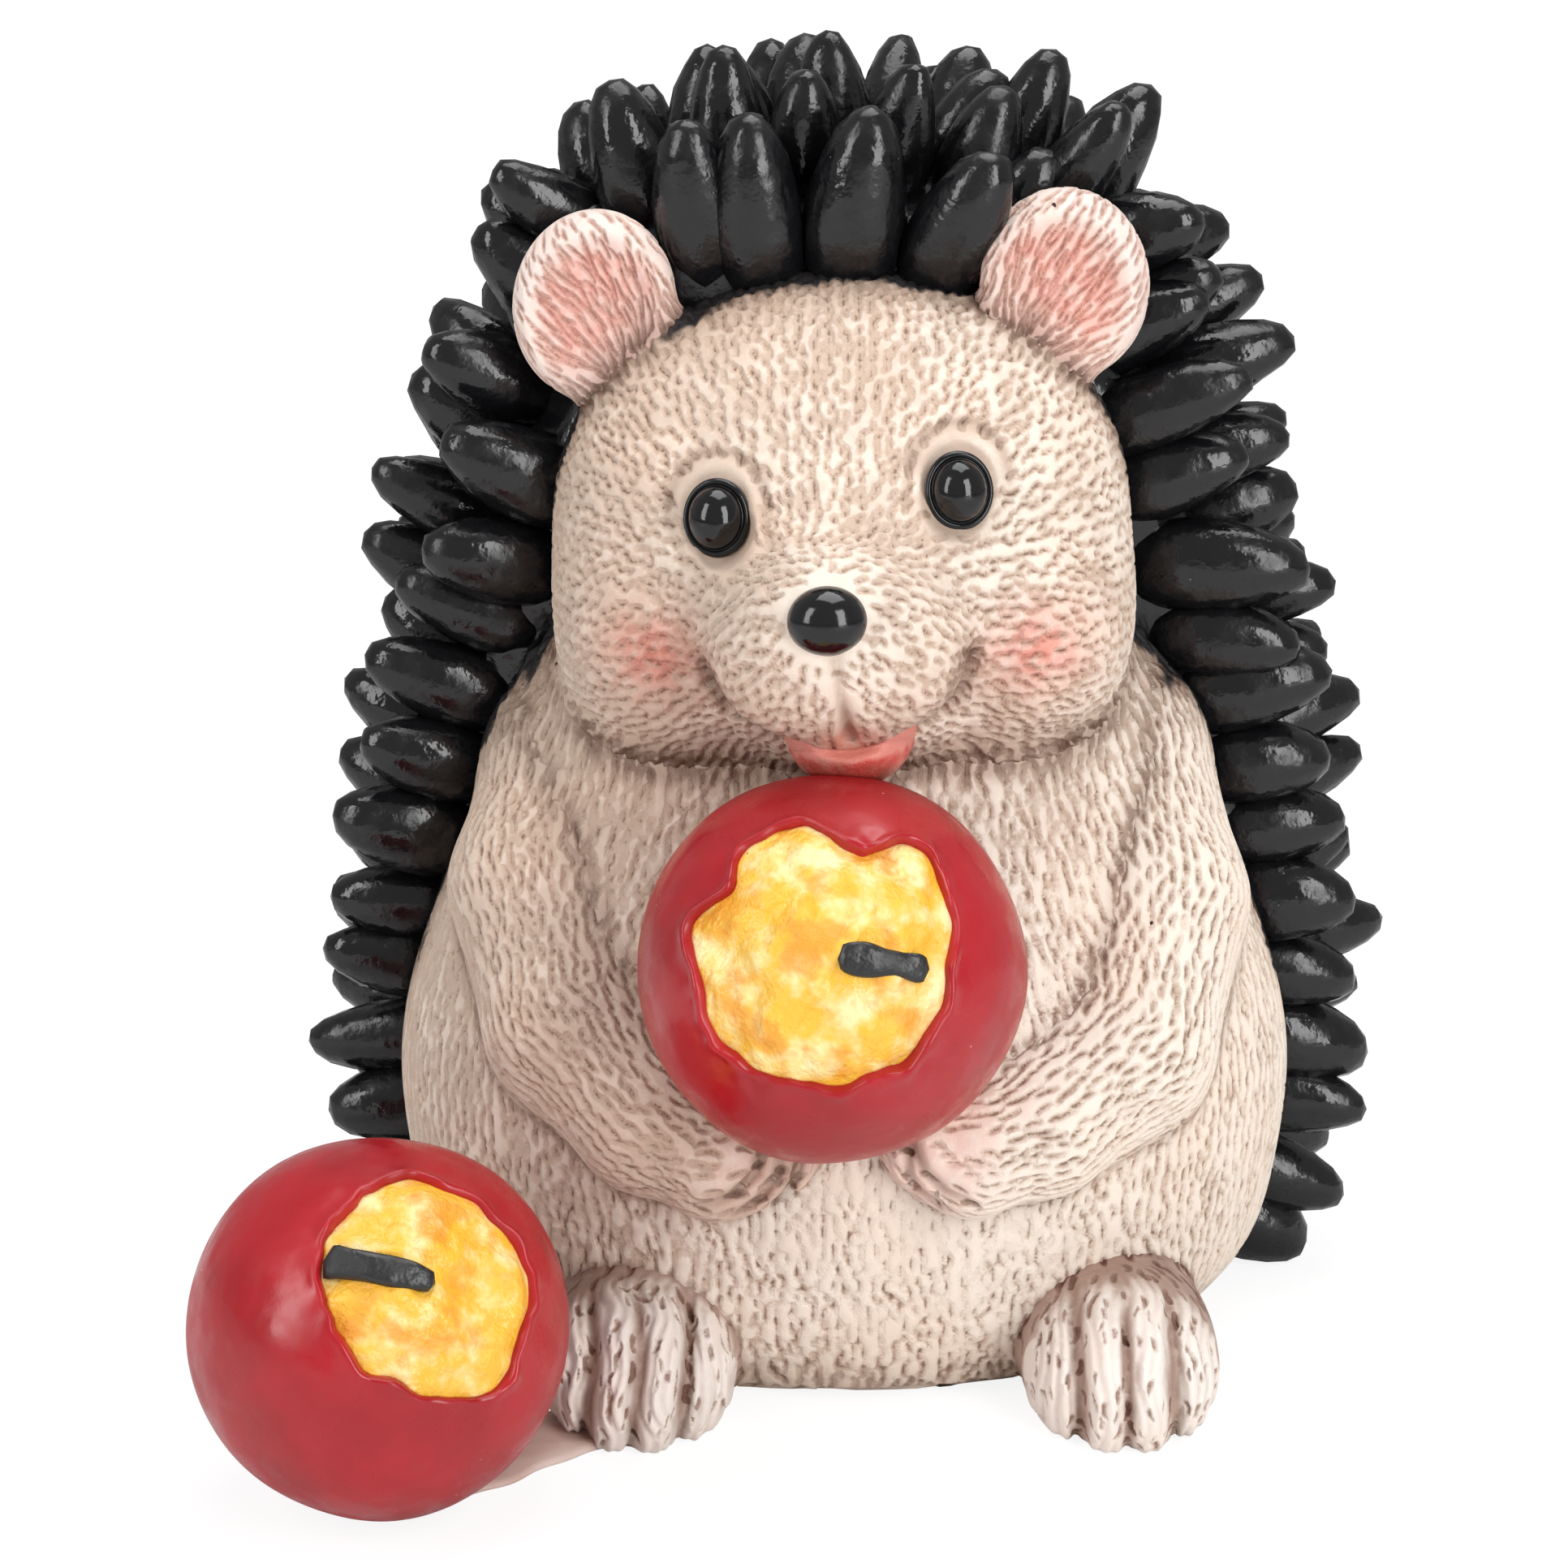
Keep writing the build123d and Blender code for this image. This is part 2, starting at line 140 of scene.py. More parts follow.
def egg(points: Array, centre: Sequence[float], radii: Sequence[float]) -> Array:
    """Return distances to an ellipsoid whose axes are level and upright."""
    offset = points - np.asarray(centre)
    scaled = np.linalg.norm(offset / np.asarray(radii), axis=1)
    steep = np.linalg.norm(offset / np.square(radii), axis=1)
    return scaled * (scaled - 1.0) / np.maximum(steep, 1e-6)


def along_path(points: Array, path: Array) -> tuple[Array, Array, Array]:
    """Find the nearest place on a bent path.

    Args:
        points: places, one row each, in two or three dimensions.
        path: the path's corners, one row each.

    Returns:
        The distance to the path, the running share of the nearest place counted in
        corners, and the path's direction there.
    """
    best = np.full(len(points), np.inf)
    place = np.zeros(len(points))
    heading = np.zeros_like(points)
    for index, (start, end) in enumerate(zip(path[:-1], path[1:])):
        run = end - start
        share = np.clip((points - start) @ run / (run @ run), 0.0, 1.0)
        gap = np.linalg.norm(points - start - share[:, None] * run, axis=1)
        nearer = gap < best
        best = np.where(nearer, gap, best)
        place = np.where(nearer, index + share, place)
        heading[nearer] = run / np.linalg.norm(run)
    return best, place, heading


def tapered_rod(points: Array, path: Array, radii: Sequence[float]) -> Array:
    """Return distances to a bent rod whose radius changes from corner to corner."""
    result = np.full(len(points), np.inf)
    for start, end, first, last in zip(path[:-1], path[1:], radii[:-1], radii[1:]):
        run = end - start
        share = np.clip((points - start) @ run / (run @ run), 0.0, 1.0)
        gap = np.linalg.norm(points - start - share[:, None] * run, axis=1)
        piece = gap - (first + (last - first) * share)
        result = piece if np.isinf(result[0]) else soft_min(result, piece, 2.0)
    return result


def carved_line(across: Array, up: Array, path: Sequence[tuple[float, float]],
                width: float, depths: Sequence[float]) -> Array:
    """Return how deep a line is carved, seen square on.

    Args:
        across: the first coordinate of the places.
        up: the second coordinate of the places.
        path: the line's corners.
        width: how far from the line the cut fades.
        depths: the depth at each corner.

    Returns:
        The depth of the cut at each place.
    """
    gap, place, _ = along_path(np.stack([across, up], axis=1), np.asarray(path, float))
    return np.interp(place, range(len(depths)), depths) * hump(gap, width)


def carved_lines(points: Array, paths: Sequence[Sequence[tuple[float, float]]], width: float,
                 depths: Sequence[float]) -> Array:
    """Return how deep several like lines are carved together, seen from the front."""
    total = np.zeros(len(points))
    for path in paths:
        total += carved_line(points[:, 0], points[:, 2], path, width, depths)
    return total


def smooth_through(places: Sequence[float], values: Sequence[float], wanted: Array) -> Array:
    """Return a natural cubic spline through the given values, read at the wanted places."""
    x, y = np.asarray(places, float), np.asarray(values, float)
    gap = np.diff(x)
    matrix = np.eye(len(x))
    right = np.zeros(len(x))
    for i in range(1, len(x) - 1):
        matrix[i, i - 1:i + 2] = gap[i - 1], 2 * (gap[i - 1] + gap[i]), gap[i]
        right[i] = 6 * ((y[i + 1] - y[i]) / gap[i] - (y[i] - y[i - 1]) / gap[i - 1])
    bend = np.linalg.solve(matrix, right)
    i = np.clip(np.searchsorted(x, wanted) - 1, 0, len(x) - 2)
    before, after = wanted - x[i], x[i + 1] - wanted
    return (
        (bend[i] * after**3 + bend[i + 1] * before**3) / (6 * gap[i])
        + (y[i] / gap[i] - bend[i] * gap[i] / 6) * after
        + (y[i + 1] / gap[i] - bend[i + 1] * gap[i] / 6) * before
    )


@dataclass(frozen=True)
class Loft:
    """A form drawn through ellipses that stand square on one axis."""

    stations: tuple[float, ...]
    half_widths: tuple[float, ...]
    half_heights: tuple[float, ...]
    rises: tuple[float, ...]
    end_round: float = 3.0

    def section(self, along: Array) -> tuple[Array, Array, Array]:
        """Return the half width, half height and rise of the section at each station."""
        table = np.linspace(self.stations[0], self.stations[-1], 240)
        return tuple(
            np.interp(along, table, smooth_through(self.stations, values, table))
            for values in (self.half_widths, self.half_heights, self.rises)
        )

    def distance(self, across: Array, along: Array, up: Array) -> Array:
        """Return distances to the form, from coordinates along its own three axes."""
        width, height, rise = self.section(along)
        up = up - rise
        reach = np.hypot(across, up)
        ratio = np.hypot(across / width, up / height)
        edge = np.where(ratio > 1e-4, reach / np.maximum(ratio, 1e-4), np.minimum(width, height))
        ends = np.maximum(along - self.stations[-1], self.stations[0] - along)
        return soft_max(reach - edge, ends, self.end_round)


# Meshes


def surface_net(distance: Field, low: Array, high: Array, step: float) -> tuple[Array, Array]:
    """Mesh the zero surface of a distance field with four-sided faces.

    Args:
        distance: the field.
        low: the lowest corner of the box that is searched.
        high: its highest corner.
        step: the size of one cell in millimetres.

    Returns:
        Vertices and faces, the faces turned outwards.
    """
    counts = np.ceil((np.asarray(high) - low) / step).astype(int) + 1
    axes = [low[i] + step * np.arange(counts[i]) for i in range(3)]
    grid = np.stack(np.meshgrid(*axes, indexing="ij"), axis=-1)
    values = distance(grid.reshape(-1, 3)).reshape(counts)
    total = np.zeros(tuple(counts - 1) + (3,))
    hits = np.zeros(tuple(counts - 1))
    crossings = []
    for axis in range(3):
        first = np.moveaxis(values, axis, 0)[:-1]
        last = np.moveaxis(values, axis, 0)[1:]
        crossing = (first < 0) != (last < 0)
        share = first / np.where(crossing, first - last, 1.0)
        place = np.moveaxis(grid, axis, 0)[:-1].copy()
        place[..., axis] += step * share
        place[~crossing] = 0.0
        total_view, hits_view = np.moveaxis(total, axis, 0), np.moveaxis(hits, axis, 0)
        for u in (0, 1):
            for v in (0, 1):
                part = (slice(None), slice(u, crossing.shape[1] - 1 + u), slice(v, crossing.shape[2] - 1 + v))
                total_view += place[part]
                hits_view += crossing[part]
        crossings.append((crossing, first < 0))
    used = hits > 0
    number = np.full(hits.shape, -1)
    number[used] = np.arange(used.sum())
    vertices = total[used] / hits[used][:, None]
    faces = []
    for axis, (crossing, outward) in enumerate(crossings):
        i, j, k = np.nonzero(crossing[:, 1:-1, 1:-1])
        cells = np.moveaxis(number, axis, 0)
        corners = [cells[i, j + a, k + b] for a, b in ((0, 0), (1, 0), (1, 1), (0, 1))]
        quads = np.stack(corners, axis=1)
        turned = outward[i, j + 1, k + 1] != (axis == 1)
        quads[~turned] = quads[~turned][:, ::-1]
        faces.append(quads)
    return vertices, np.concatenate(faces)


def quartered(vertices: Array, faces: Array) -> tuple[Array, Array]:
    """Split every four-sided face into four, through its middle and the middles of its edges."""
    edges = np.sort(np.stack([faces, np.roll(faces, -1, axis=1)], axis=2).reshape(-1, 2), axis=1)
    pairs, which = np.unique(edges, axis=0, return_inverse=True)
    which = which.reshape(faces.shape) + len(vertices)
    middles = vertices[pairs].mean(axis=1)
    centres = vertices[faces].mean(axis=1)
    centre = (len(vertices) + len(pairs) + np.arange(len(faces)))[:, None]
    quads = [
        np.concatenate([faces[:, [i]], which[:, [i]], centre, which[:, [i - 1]]], axis=1) for i in range(4)
    ]
    return np.concatenate([vertices, middles, centres]), np.concatenate(quads)


def settled(distance: Field, vertices: Array, rounds: int) -> tuple[Array, Array]:
    """Move vertices onto the zero surface of a field.

    Args:
        distance: the field.
        vertices: places near the surface.
        rounds: how many steps each vertex takes.

    Returns:
        The moved vertices and the outward directions there.
    """
    nudge = 0.04
    for _ in range(rounds):
        value = distance(vertices)
        slope = np.stack([distance(vertices + nudge * axis) - value for axis in np.eye(3)], axis=1) / nudge
        steep = np.maximum(np.linalg.norm(slope, axis=1), 0.2)
        normals = slope / steep[:, None]
        vertices = vertices - np.clip(value / steep, -0.8, 0.8)[:, None] * normals
    return vertices, normals


def make_object(name: str, vertices: Array, faces: Any, material: Optional[bpy.types.Material] = None,
                values: Optional[dict[str, Array]] = None) -> bpy.types.Object:
    """Make a smooth mesh object at the origin.

    Args:
        name: the object's name.
        vertices: places in millimetres.
        faces: vertex numbers of each face.
        material: its finish, unless a geometry tree sets it later.
        values: attributes of the vertices, a float or a vector each.

    Returns:
        The object, linked to the scene.
    """
    mesh = bpy.data.meshes.new(name)
    corners = faces if isinstance(faces, list) else faces.tolist()
    mesh.from_pydata(np.asarray(vertices) * MILLIMETRE, [], corners)
    for key, value in (values or {}).items():
        vector = value.ndim == 2
        layer = mesh.attributes.new(key, "FLOAT_VECTOR" if vector else "FLOAT", "POINT")
        layer.data.foreach_set("vector" if vector else "value", value.astype(np.float32).ravel())
    mesh.shade_smooth()
    if material is not None:
        mesh.materials.append(material)
    piece = bpy.data.objects.new(name, mesh)
    bpy.context.scene.collection.objects.link(piece)
    return piece


def around(turns: int) -> Array:
    """Return evenly spaced angles once round a ring."""
    return 2 * math.pi * np.arange(turns) / turns


def closed_rings(rings: Sequence[Array], first: Sequence[float], last: Sequence[float]
                 ) -> tuple[Array, list[list[int]]]:
    """Join rings of places into a skin that a point closes at each end.

    Args:
        rings: places, as many in each ring, anticlockwise as the first end's outside sees them.
        first: the point that closes the first ring.
        last: the point that closes the last ring.

    Returns:
        Vertices and faces.
    """
    turns = len(rings[0])
    vertices = np.concatenate([[first], *rings, [last]])
    last_ring = 1 + (len(rings) - 1) * turns
    faces = []
    for i in range(turns):
        j = (i + 1) % turns
        faces.append([0, 1 + i, 1 + j])
        for base in range(1, last_ring, turns):
            faces.append([base + i, base + turns + i, base + turns + j, base + j])
        faces.append([last_ring + i, len(vertices) - 1, last_ring + j])
    return vertices, faces


def turned_profile(profile: Sequence[tuple[float, float]], turns: int) -> tuple[Array, list[list[int]]]:
    """Turn a profile of radius and height about the upright axis, closed at both ends.

    Args:
        profile: radius and height of each ring from the bottom up, the first and last at radius 0.
        turns: how many sides each ring has.

    Returns:
        Vertices and faces.
    """
    angles = around(turns)
    rings = [
        np.stack([radius * np.cos(angles), radius * np.sin(angles), np.full(turns, height)], axis=1)
        for radius, height in profile[-2:0:-1]
    ]
    return closed_rings(rings, (0, 0, profile[-1][1]), (0, 0, profile[0][1]))


def facing_axes(forward: Sequence[float], up: Sequence[float] = (0, 0, 1)) -> Array:
    """Return unit across, up and forward directions as rows, forward first settled."""
    forward = np.asarray(forward, float) / np.linalg.norm(forward)
    across = np.cross(up, forward)
    across /= np.linalg.norm(across)
    return np.stack([across, np.cross(forward, across), forward])


# Node trees


class Graph:
    """Adds nodes to one tree and joins them."""

    def __init__(self, tree: bpy.types.NodeTree) -> None:
        """Keep the tree that the nodes go into."""
        self.tree = tree

    def link(self, source: bpy.types.NodeSocket, target: bpy.types.NodeSocket) -> None:
        """Join an output to an input."""
        self.tree.links.new(source, target)

    def feed(self, target: bpy.types.NodeSocket, value: Any) -> None:
        """Join a socket to an input, or set the input to a plain value or colour."""
        if isinstance(value, bpy.types.NodeSocket):
            self.link(value, target)
        elif target.type == "RGBA" and len(value) == 3:
            target.default_value = (*value, 1.0)
        else:
            target.default_value = value

    def add(self, kind: str, inputs: Optional[dict[Any, Any]] = None, **settings: Any) -> bpy.types.Node:
        """Add one node.

        Args:
            kind: the node's type.
            inputs: for each input socket, by name or number, a socket to join or a value.
            settings: the node's own settings.

        Returns:
            The node.
        """
        node = self.tree.nodes.new(kind)
        for name, value in settings.items():
            setattr(node, name, value)
        for key, value in (inputs or {}).items():
            self.feed(node.inputs[key], value)
        return node

    def math(self, operation: str, *values: Any) -> bpy.types.NodeSocket:
        """Add a Math node and return its result."""
        return self.add("ShaderNodeMath", dict(enumerate(values)), operation=operation).outputs[0]

    def times(self, first: Any, *others: Any) -> bpy.types.NodeSocket:
        """Multiply values one after the other and return the product."""
        for value in others:
            first = self.math("MULTIPLY", first, value)
        return first

    def scaled(self, value: Any, low: float, high: float, to_low: float = 0.0, to_high: float = 1.0
               ) -> bpy.types.NodeSocket:
        """Map a value smoothly from one range to another and return the result."""
        node = self.add(
            "ShaderNodeMapRange",
            {"Value": value, "From Min": low, "From Max": high, "To Min": to_low, "To Max": to_high},
            interpolation_type="SMOOTHSTEP",
        )
        return node.outputs["Result"]

    def mixed(self, share: Any, first: Any, second: Any, blend: str = "MIX") -> bpy.types.NodeSocket:
        """Mix two colours and return the result."""
        node = self.add("ShaderNodeMix", {"Factor": share}, data_type="RGBA", blend_type=blend)
        self.feed(node.inputs[6], first)
        self.feed(node.inputs[7], second)
        return node.outputs[2]

    def noise(self, place: Any, size: float, detail: float = 2.0, roughness: float = 0.5
              ) -> bpy.types.NodeSocket:
        """Add noise whose lumps have a size in millimetres and return its value."""
        node = self.add(
            "ShaderNodeTexNoise",
            {"Vector": place, "Scale": 1.0 / (size * MILLIMETRE), "Detail": detail, "Roughness": roughness},
        )
        return node.outputs[0]

    def centred_noise(self, place: Any, size: float, detail: float = 2.0, roughness: float = 0.5
                      ) -> bpy.types.NodeSocket:
        """Return noise that runs to both sides of 0."""
        return self.math("SUBTRACT", self.noise(place, size, detail, roughness), 0.5)

    def named(self, name: str, kind: str = "FLOAT") -> bpy.types.NodeSocket:
        """Return a named attribute in a geometry tree."""
        return self.add("GeometryNodeInputNamedAttribute", {"Name": name}, data_type=kind).outputs[0]

    def pushed(self, amount: bpy.types.NodeSocket) -> bpy.types.NodeSocket:
        """Return the surface's normal scaled by an amount, in a geometry tree."""
        normal = self.add("GeometryNodeInputNormal").outputs[0]
        return self.add("ShaderNodeVectorMath", {0: normal, "Scale": amount}, operation="SCALE").outputs[0]


def new_group(name: str, kind: str, inputs: dict[str, tuple[str, Any]], outputs: dict[str, str]
              ) -> tuple[Graph, Any, Any]:
    """Start a node group with named inputs and outputs.

    Args:
        name: the group's name.
        kind: ShaderNodeTree or GeometryNodeTree.
        inputs: for each input its socket type and first value, or None.
        outputs: for each output its socket type.

    Returns:
        The graph, the sockets that the group is given and the sockets of its result.
    """
    tree = bpy.data.node_groups.new(name, kind)
    for label, (socket_type, value) in inputs.items():
        socket = tree.interface.new_socket(name=label, in_out="INPUT", socket_type=socket_type)
        if value is not None:
            socket.default_value = value
    for label, socket_type in outputs.items():
        tree.interface.new_socket(name=label, in_out="OUTPUT", socket_type=socket_type)
    graph = Graph(tree)
    return graph, graph.add("NodeGroupInput").outputs, graph.add("NodeGroupOutput").inputs


def apply_tree(piece: bpy.types.Object, tree: bpy.types.NodeTree, values: dict[str, Any]) -> None:
    """Run a geometry tree on a piece and keep its result as the piece's plain mesh.

    Args:
        piece: the object.
        tree: the geometry tree.
        values: the tree's inputs by name.
    """
    modifier = piece.modifiers.new(tree.name, "NODES")
    modifier.node_group = tree
    for item in tree.interface.items_tree:
        if item.item_type == "SOCKET" and item.in_out == "INPUT" and item.name in values:
            modifier[item.identifier] = values[item.name]
    graph = bpy.context.evaluated_depsgraph_get()
    mesh = bpy.data.meshes.new_from_object(
        piece.evaluated_get(graph), preserve_all_data_layers=True, depsgraph=graph
    )
    piece.modifiers.clear()
    old = piece.data
    piece.data = mesh
    mesh.name = piece.name
    bpy.data.meshes.remove(old)


def carving_tree() -> bpy.types.NodeTree:
    """Build the tree that carves short fur strokes into a surface along its flow."""
    stroke_points = 7
    turned = 0.22
    smallest, largest = (0.65, -1.0, 0.8), (1.35, 1.0, 1.2)
    edge_size, edge_reach = 1.1, 0.4 * MILLIMETRE
    bare_edge = 0.78
    graph, given, result = new_group(
        "carve fur", "GeometryNodeTree",
        {
            "Geometry": ("NodeSocketGeometry", None),
            "Spacing": ("NodeSocketFloat", 0.0015),
            "Density": ("NodeSocketFloat", 300000.0),
            "Stroke Length": ("NodeSocketFloat", 0.003),
            "Half Width": ("NodeSocketFloat", 0.0006),
            "End Lift": ("NodeSocketFloat", 0.0004),
            "Depth": ("NodeSocketFloat", 0.0004),
            "Seed": ("NodeSocketInt", 1),
            "Material": ("NodeSocketMaterial", None),
        },
        {"Geometry": "NodeSocketGeometry"},
    )
    fur = graph.named(Mask.FUR.value)
    points = graph.add(
        "GeometryNodeDistributePointsOnFaces",
        {
            "Mesh": given["Geometry"], "Distance Min": given["Spacing"], "Density Max": given["Density"],
            "Density Factor": fur, "Seed": given["Seed"],
        },
        distribute_method="POISSON",
    ).outputs
    half = graph.times(given["Stroke Length"], 0.5)
    start = graph.add("ShaderNodeCombineXYZ", {"X": graph.times(half, -1.0)}).outputs[0]
    end = graph.add("ShaderNodeCombineXYZ", {"X": half}).outputs[0]
    line = graph.add(
        "GeometryNodeMeshLine", {"Count": stroke_points, "Start Location": start, "Offset": end},
        mode="END_POINTS",
    )
    place = graph.add("GeometryNodeInputPosition").outputs[0]
    share = graph.math("DIVIDE", graph.add("ShaderNodeSeparateXYZ", {0: place}).outputs[0], half)
    curve = graph.times(share, share)
    arched = graph.add(
        "ShaderNodeCombineXYZ",
        {"Y": graph.times(curve, given["Half Width"]), "Z": graph.times(curve, given["End Lift"])},
    )
    raised = graph.add("GeometryNodeSetPosition", {"Geometry": line.outputs[0], "Offset": arched.outputs[0]})
    along = graph.add(
        "FunctionNodeAxesToRotation", {0: points["Normal"], 1: graph.named("flow", "FLOAT_VECTOR")},
        primary_axis="Z", secondary_axis="X",
    )
    wobble = graph.add(
        "FunctionNodeRandomValue",
        {"Min": (0.0, 0.0, -turned), "Max": (0.0, 0.0, turned), "Seed": given["Seed"]},
        data_type="FLOAT_VECTOR",
    )
    twist = graph.add("FunctionNodeEulerToRotation", {0: wobble.outputs[0]})
    aimed = graph.add(
        "FunctionNodeRotateRotation", {"Rotation": along.outputs[0], "Rotate By": twist.outputs[0]},
        rotation_space="LOCAL",
    )
    spread = graph.add(
        "FunctionNodeRandomValue", {"Min": smallest, "Max": largest, "Seed": given["Seed"]},
        data_type="FLOAT_VECTOR",
    )
    strokes = graph.add(
        "GeometryNodeInstanceOnPoints",
        {
            "Points": points["Points"], "Instance": raised.outputs[0], "Rotation": aimed.outputs[0],
            "Scale": spread.outputs[0],
        },
    )
    lines = graph.add("GeometryNodeRealizeInstances", {0: strokes.outputs[0]})
    near = graph.add("GeometryNodeProximity", {0: lines.outputs[0]}, target_element="EDGES")
    uneven = graph.times(graph.centred_noise(place, edge_size, 1.0), edge_reach)
    gap = graph.math("DIVIDE", graph.math("ADD", near.outputs["Distance"], uneven), given["Half Width"])
    edge = graph.math("MINIMUM", graph.math("MAXIMUM", gap, 0.0), 2.0)
    edge = graph.math("MAXIMUM", edge, graph.times(graph.math("SUBTRACT", 1.0, fur), bare_edge))
    hollow = graph.math("MAXIMUM", graph.math("SUBTRACT", 1.0, graph.times(edge, edge)), 0.0)
    sunk = graph.pushed(graph.times(hollow, given["Depth"], -1.0))
    kept = graph.add(
        "GeometryNodeStoreNamedAttribute", {"Geometry": given["Geometry"], "Name": "groove", "Value": edge},
        data_type="FLOAT", domain="POINT",
    )
    carved = graph.add("GeometryNodeSetPosition", {"Geometry": kept.outputs[0], "Offset": sunk})
    plain = graph.add("GeometryNodeRealizeInstances", {0: carved.outputs[0]})
    dressed = graph.add(
        "GeometryNodeSetMaterial", {"Geometry": plain.outputs[0], "Material": given["Material"]}
    )
    graph.link(dressed.outputs[0], result["Geometry"])
    return graph.tree


def quill_tree() -> bpy.types.NodeTree:
    """Build the tree that stands one fat quill on every point of a row."""
    fullness = -0.12
    base_girth, taper, taper_power = 1.14, 0.36, 1.5
    bend_reach = 0.3
    lump_size = 5.0
    graph, given, result = new_group(
        "stand quills", "GeometryNodeTree",
        {
            "Geometry": ("NodeSocketGeometry", None),
            "Sides": ("NodeSocketInt", 12),
            "Rings": ("NodeSocketInt", 9),
            "Unevenness": ("NodeSocketFloat", 0.0005),
            "Material": ("NodeSocketMaterial", None),
        },
        {"Geometry": "NodeSocketGeometry"},
    )
    ball = graph.add(
        "GeometryNodeMeshUVSphere", {"Segments": given["Sides"], "Rings": given["Rings"], "Radius": 1.0}
    )
    place = graph.add("GeometryNodeInputPosition").outputs[0]
    across, deep, up = graph.add("ShaderNodeSeparateXYZ", {0: place}).outputs[:3]
    height = graph.times(graph.math("ADD", up, 1.0), 0.5)
    level = graph.math("MAXIMUM", graph.math("SUBTRACT", 1.0, graph.times(up, up)), 1e-4)
    fuller = graph.math("POWER", level, fullness)
    lean = graph.math("SUBTRACT", base_girth, graph.times(graph.math("POWER", height, taper_power), taper))
    girth = graph.times(fuller, lean)
    bend = graph.times(height, height, bend_reach)
    form = graph.add(
        "ShaderNodeCombineXYZ",
        {
            "X": graph.math("ADD", graph.times(across, girth), bend), "Y": graph.times(deep, girth),
            "Z": height,
        },
    )
    shaped = graph.add("GeometryNodeSetPosition", {"Geometry": ball.outputs[0], "Position": form.outputs[0]})
    turn = graph.add(
        "FunctionNodeAxesToRotation",
        {0: graph.named("direction", "FLOAT_VECTOR"), 1: graph.named("across", "FLOAT_VECTOR")},
        primary_axis="Z", secondary_axis="X",
    )
    stood = graph.add(
        "GeometryNodeInstanceOnPoints",
        {
            "Points": given["Geometry"], "Instance": shaped.outputs[0], "Rotation": turn.outputs[0],
            "Scale": graph.named("size", "FLOAT_VECTOR"),
        },
    )
    solid = graph.add("GeometryNodeRealizeInstances", {0: stood.outputs[0]})
    offset = graph.pushed(graph.times(graph.centred_noise(place, lump_size), given["Unevenness"], 2.0))
    uneven = graph.add("GeometryNodeSetPosition", {"Geometry": solid.outputs[0], "Offset": offset})
    smooth = graph.add("GeometryNodeSetShadeSmooth", {0: uneven.outputs[0]})
    dressed = graph.add(
        "GeometryNodeSetMaterial", {"Geometry": smooth.outputs[0], "Material": given["Material"]}
    )
    graph.link(dressed.outputs[0], result["Geometry"])
    return graph.tree


# Finishes


def grain_group() -> bpy.types.NodeTree:
    """Build the shared group for the fine uneven skin of painted resin."""
    broad_share = 0.07
    graph, given, result = new_group(
        "resin grain", "ShaderNodeTree",
        {"Vector": ("NodeSocketVector", None), "Size": ("NodeSocketFloat", 0.3)},
        {"Height": "NodeSocketFloat", "Patches": "NodeSocketFloat"},
    )
    scale = graph.math("DIVIDE", 1.0 / MILLIMETRE, given["Size"])
    fine = graph.add("ShaderNodeTexNoise", {"Vector": given["Vector"], "Scale": scale, "Detail": 3.0})
    broad = graph.add(
        "ShaderNodeTexNoise",
        {"Vector": given["Vector"], "Scale": graph.times(scale, broad_share), "Detail": 2.0},
    )
    graph.link(fine.outputs[0], result["Height"])
    graph.link(graph.scaled(broad.outputs[0], 0.35, 0.65), result["Patches"])
    return graph.tree


def speck_group() -> bpy.types.NodeTree:
    """Build the shared group for scattered specks and pinholes."""
    graph, given, result = new_group(
        "specks", "ShaderNodeTree",
        {
            "Vector": ("NodeSocketVector", None), "Spacing": ("NodeSocketFloat", 4.0),
            "Radius": ("NodeSocketFloat", 0.12), "Share": ("NodeSocketFloat", 0.3),
        },
        {"Mask": "NodeSocketFloat"},
    )
    scale = graph.math("DIVIDE", 1.0 / MILLIMETRE, given["Spacing"])
    cells = graph.add("ShaderNodeTexVoronoi", {"Vector": given["Vector"], "Scale": scale}).outputs
    dot = graph.math("LESS_THAN", graph.times(cells["Distance"], given["Spacing"]), given["Radius"])
    draw = graph.add("ShaderNodeSeparateXYZ", {0: cells["Color"]}).outputs[0]
    chosen = graph.math("LESS_THAN", draw, given["Share"])
    graph.link(graph.times(dot, chosen), result["Mask"])
    return graph.tree


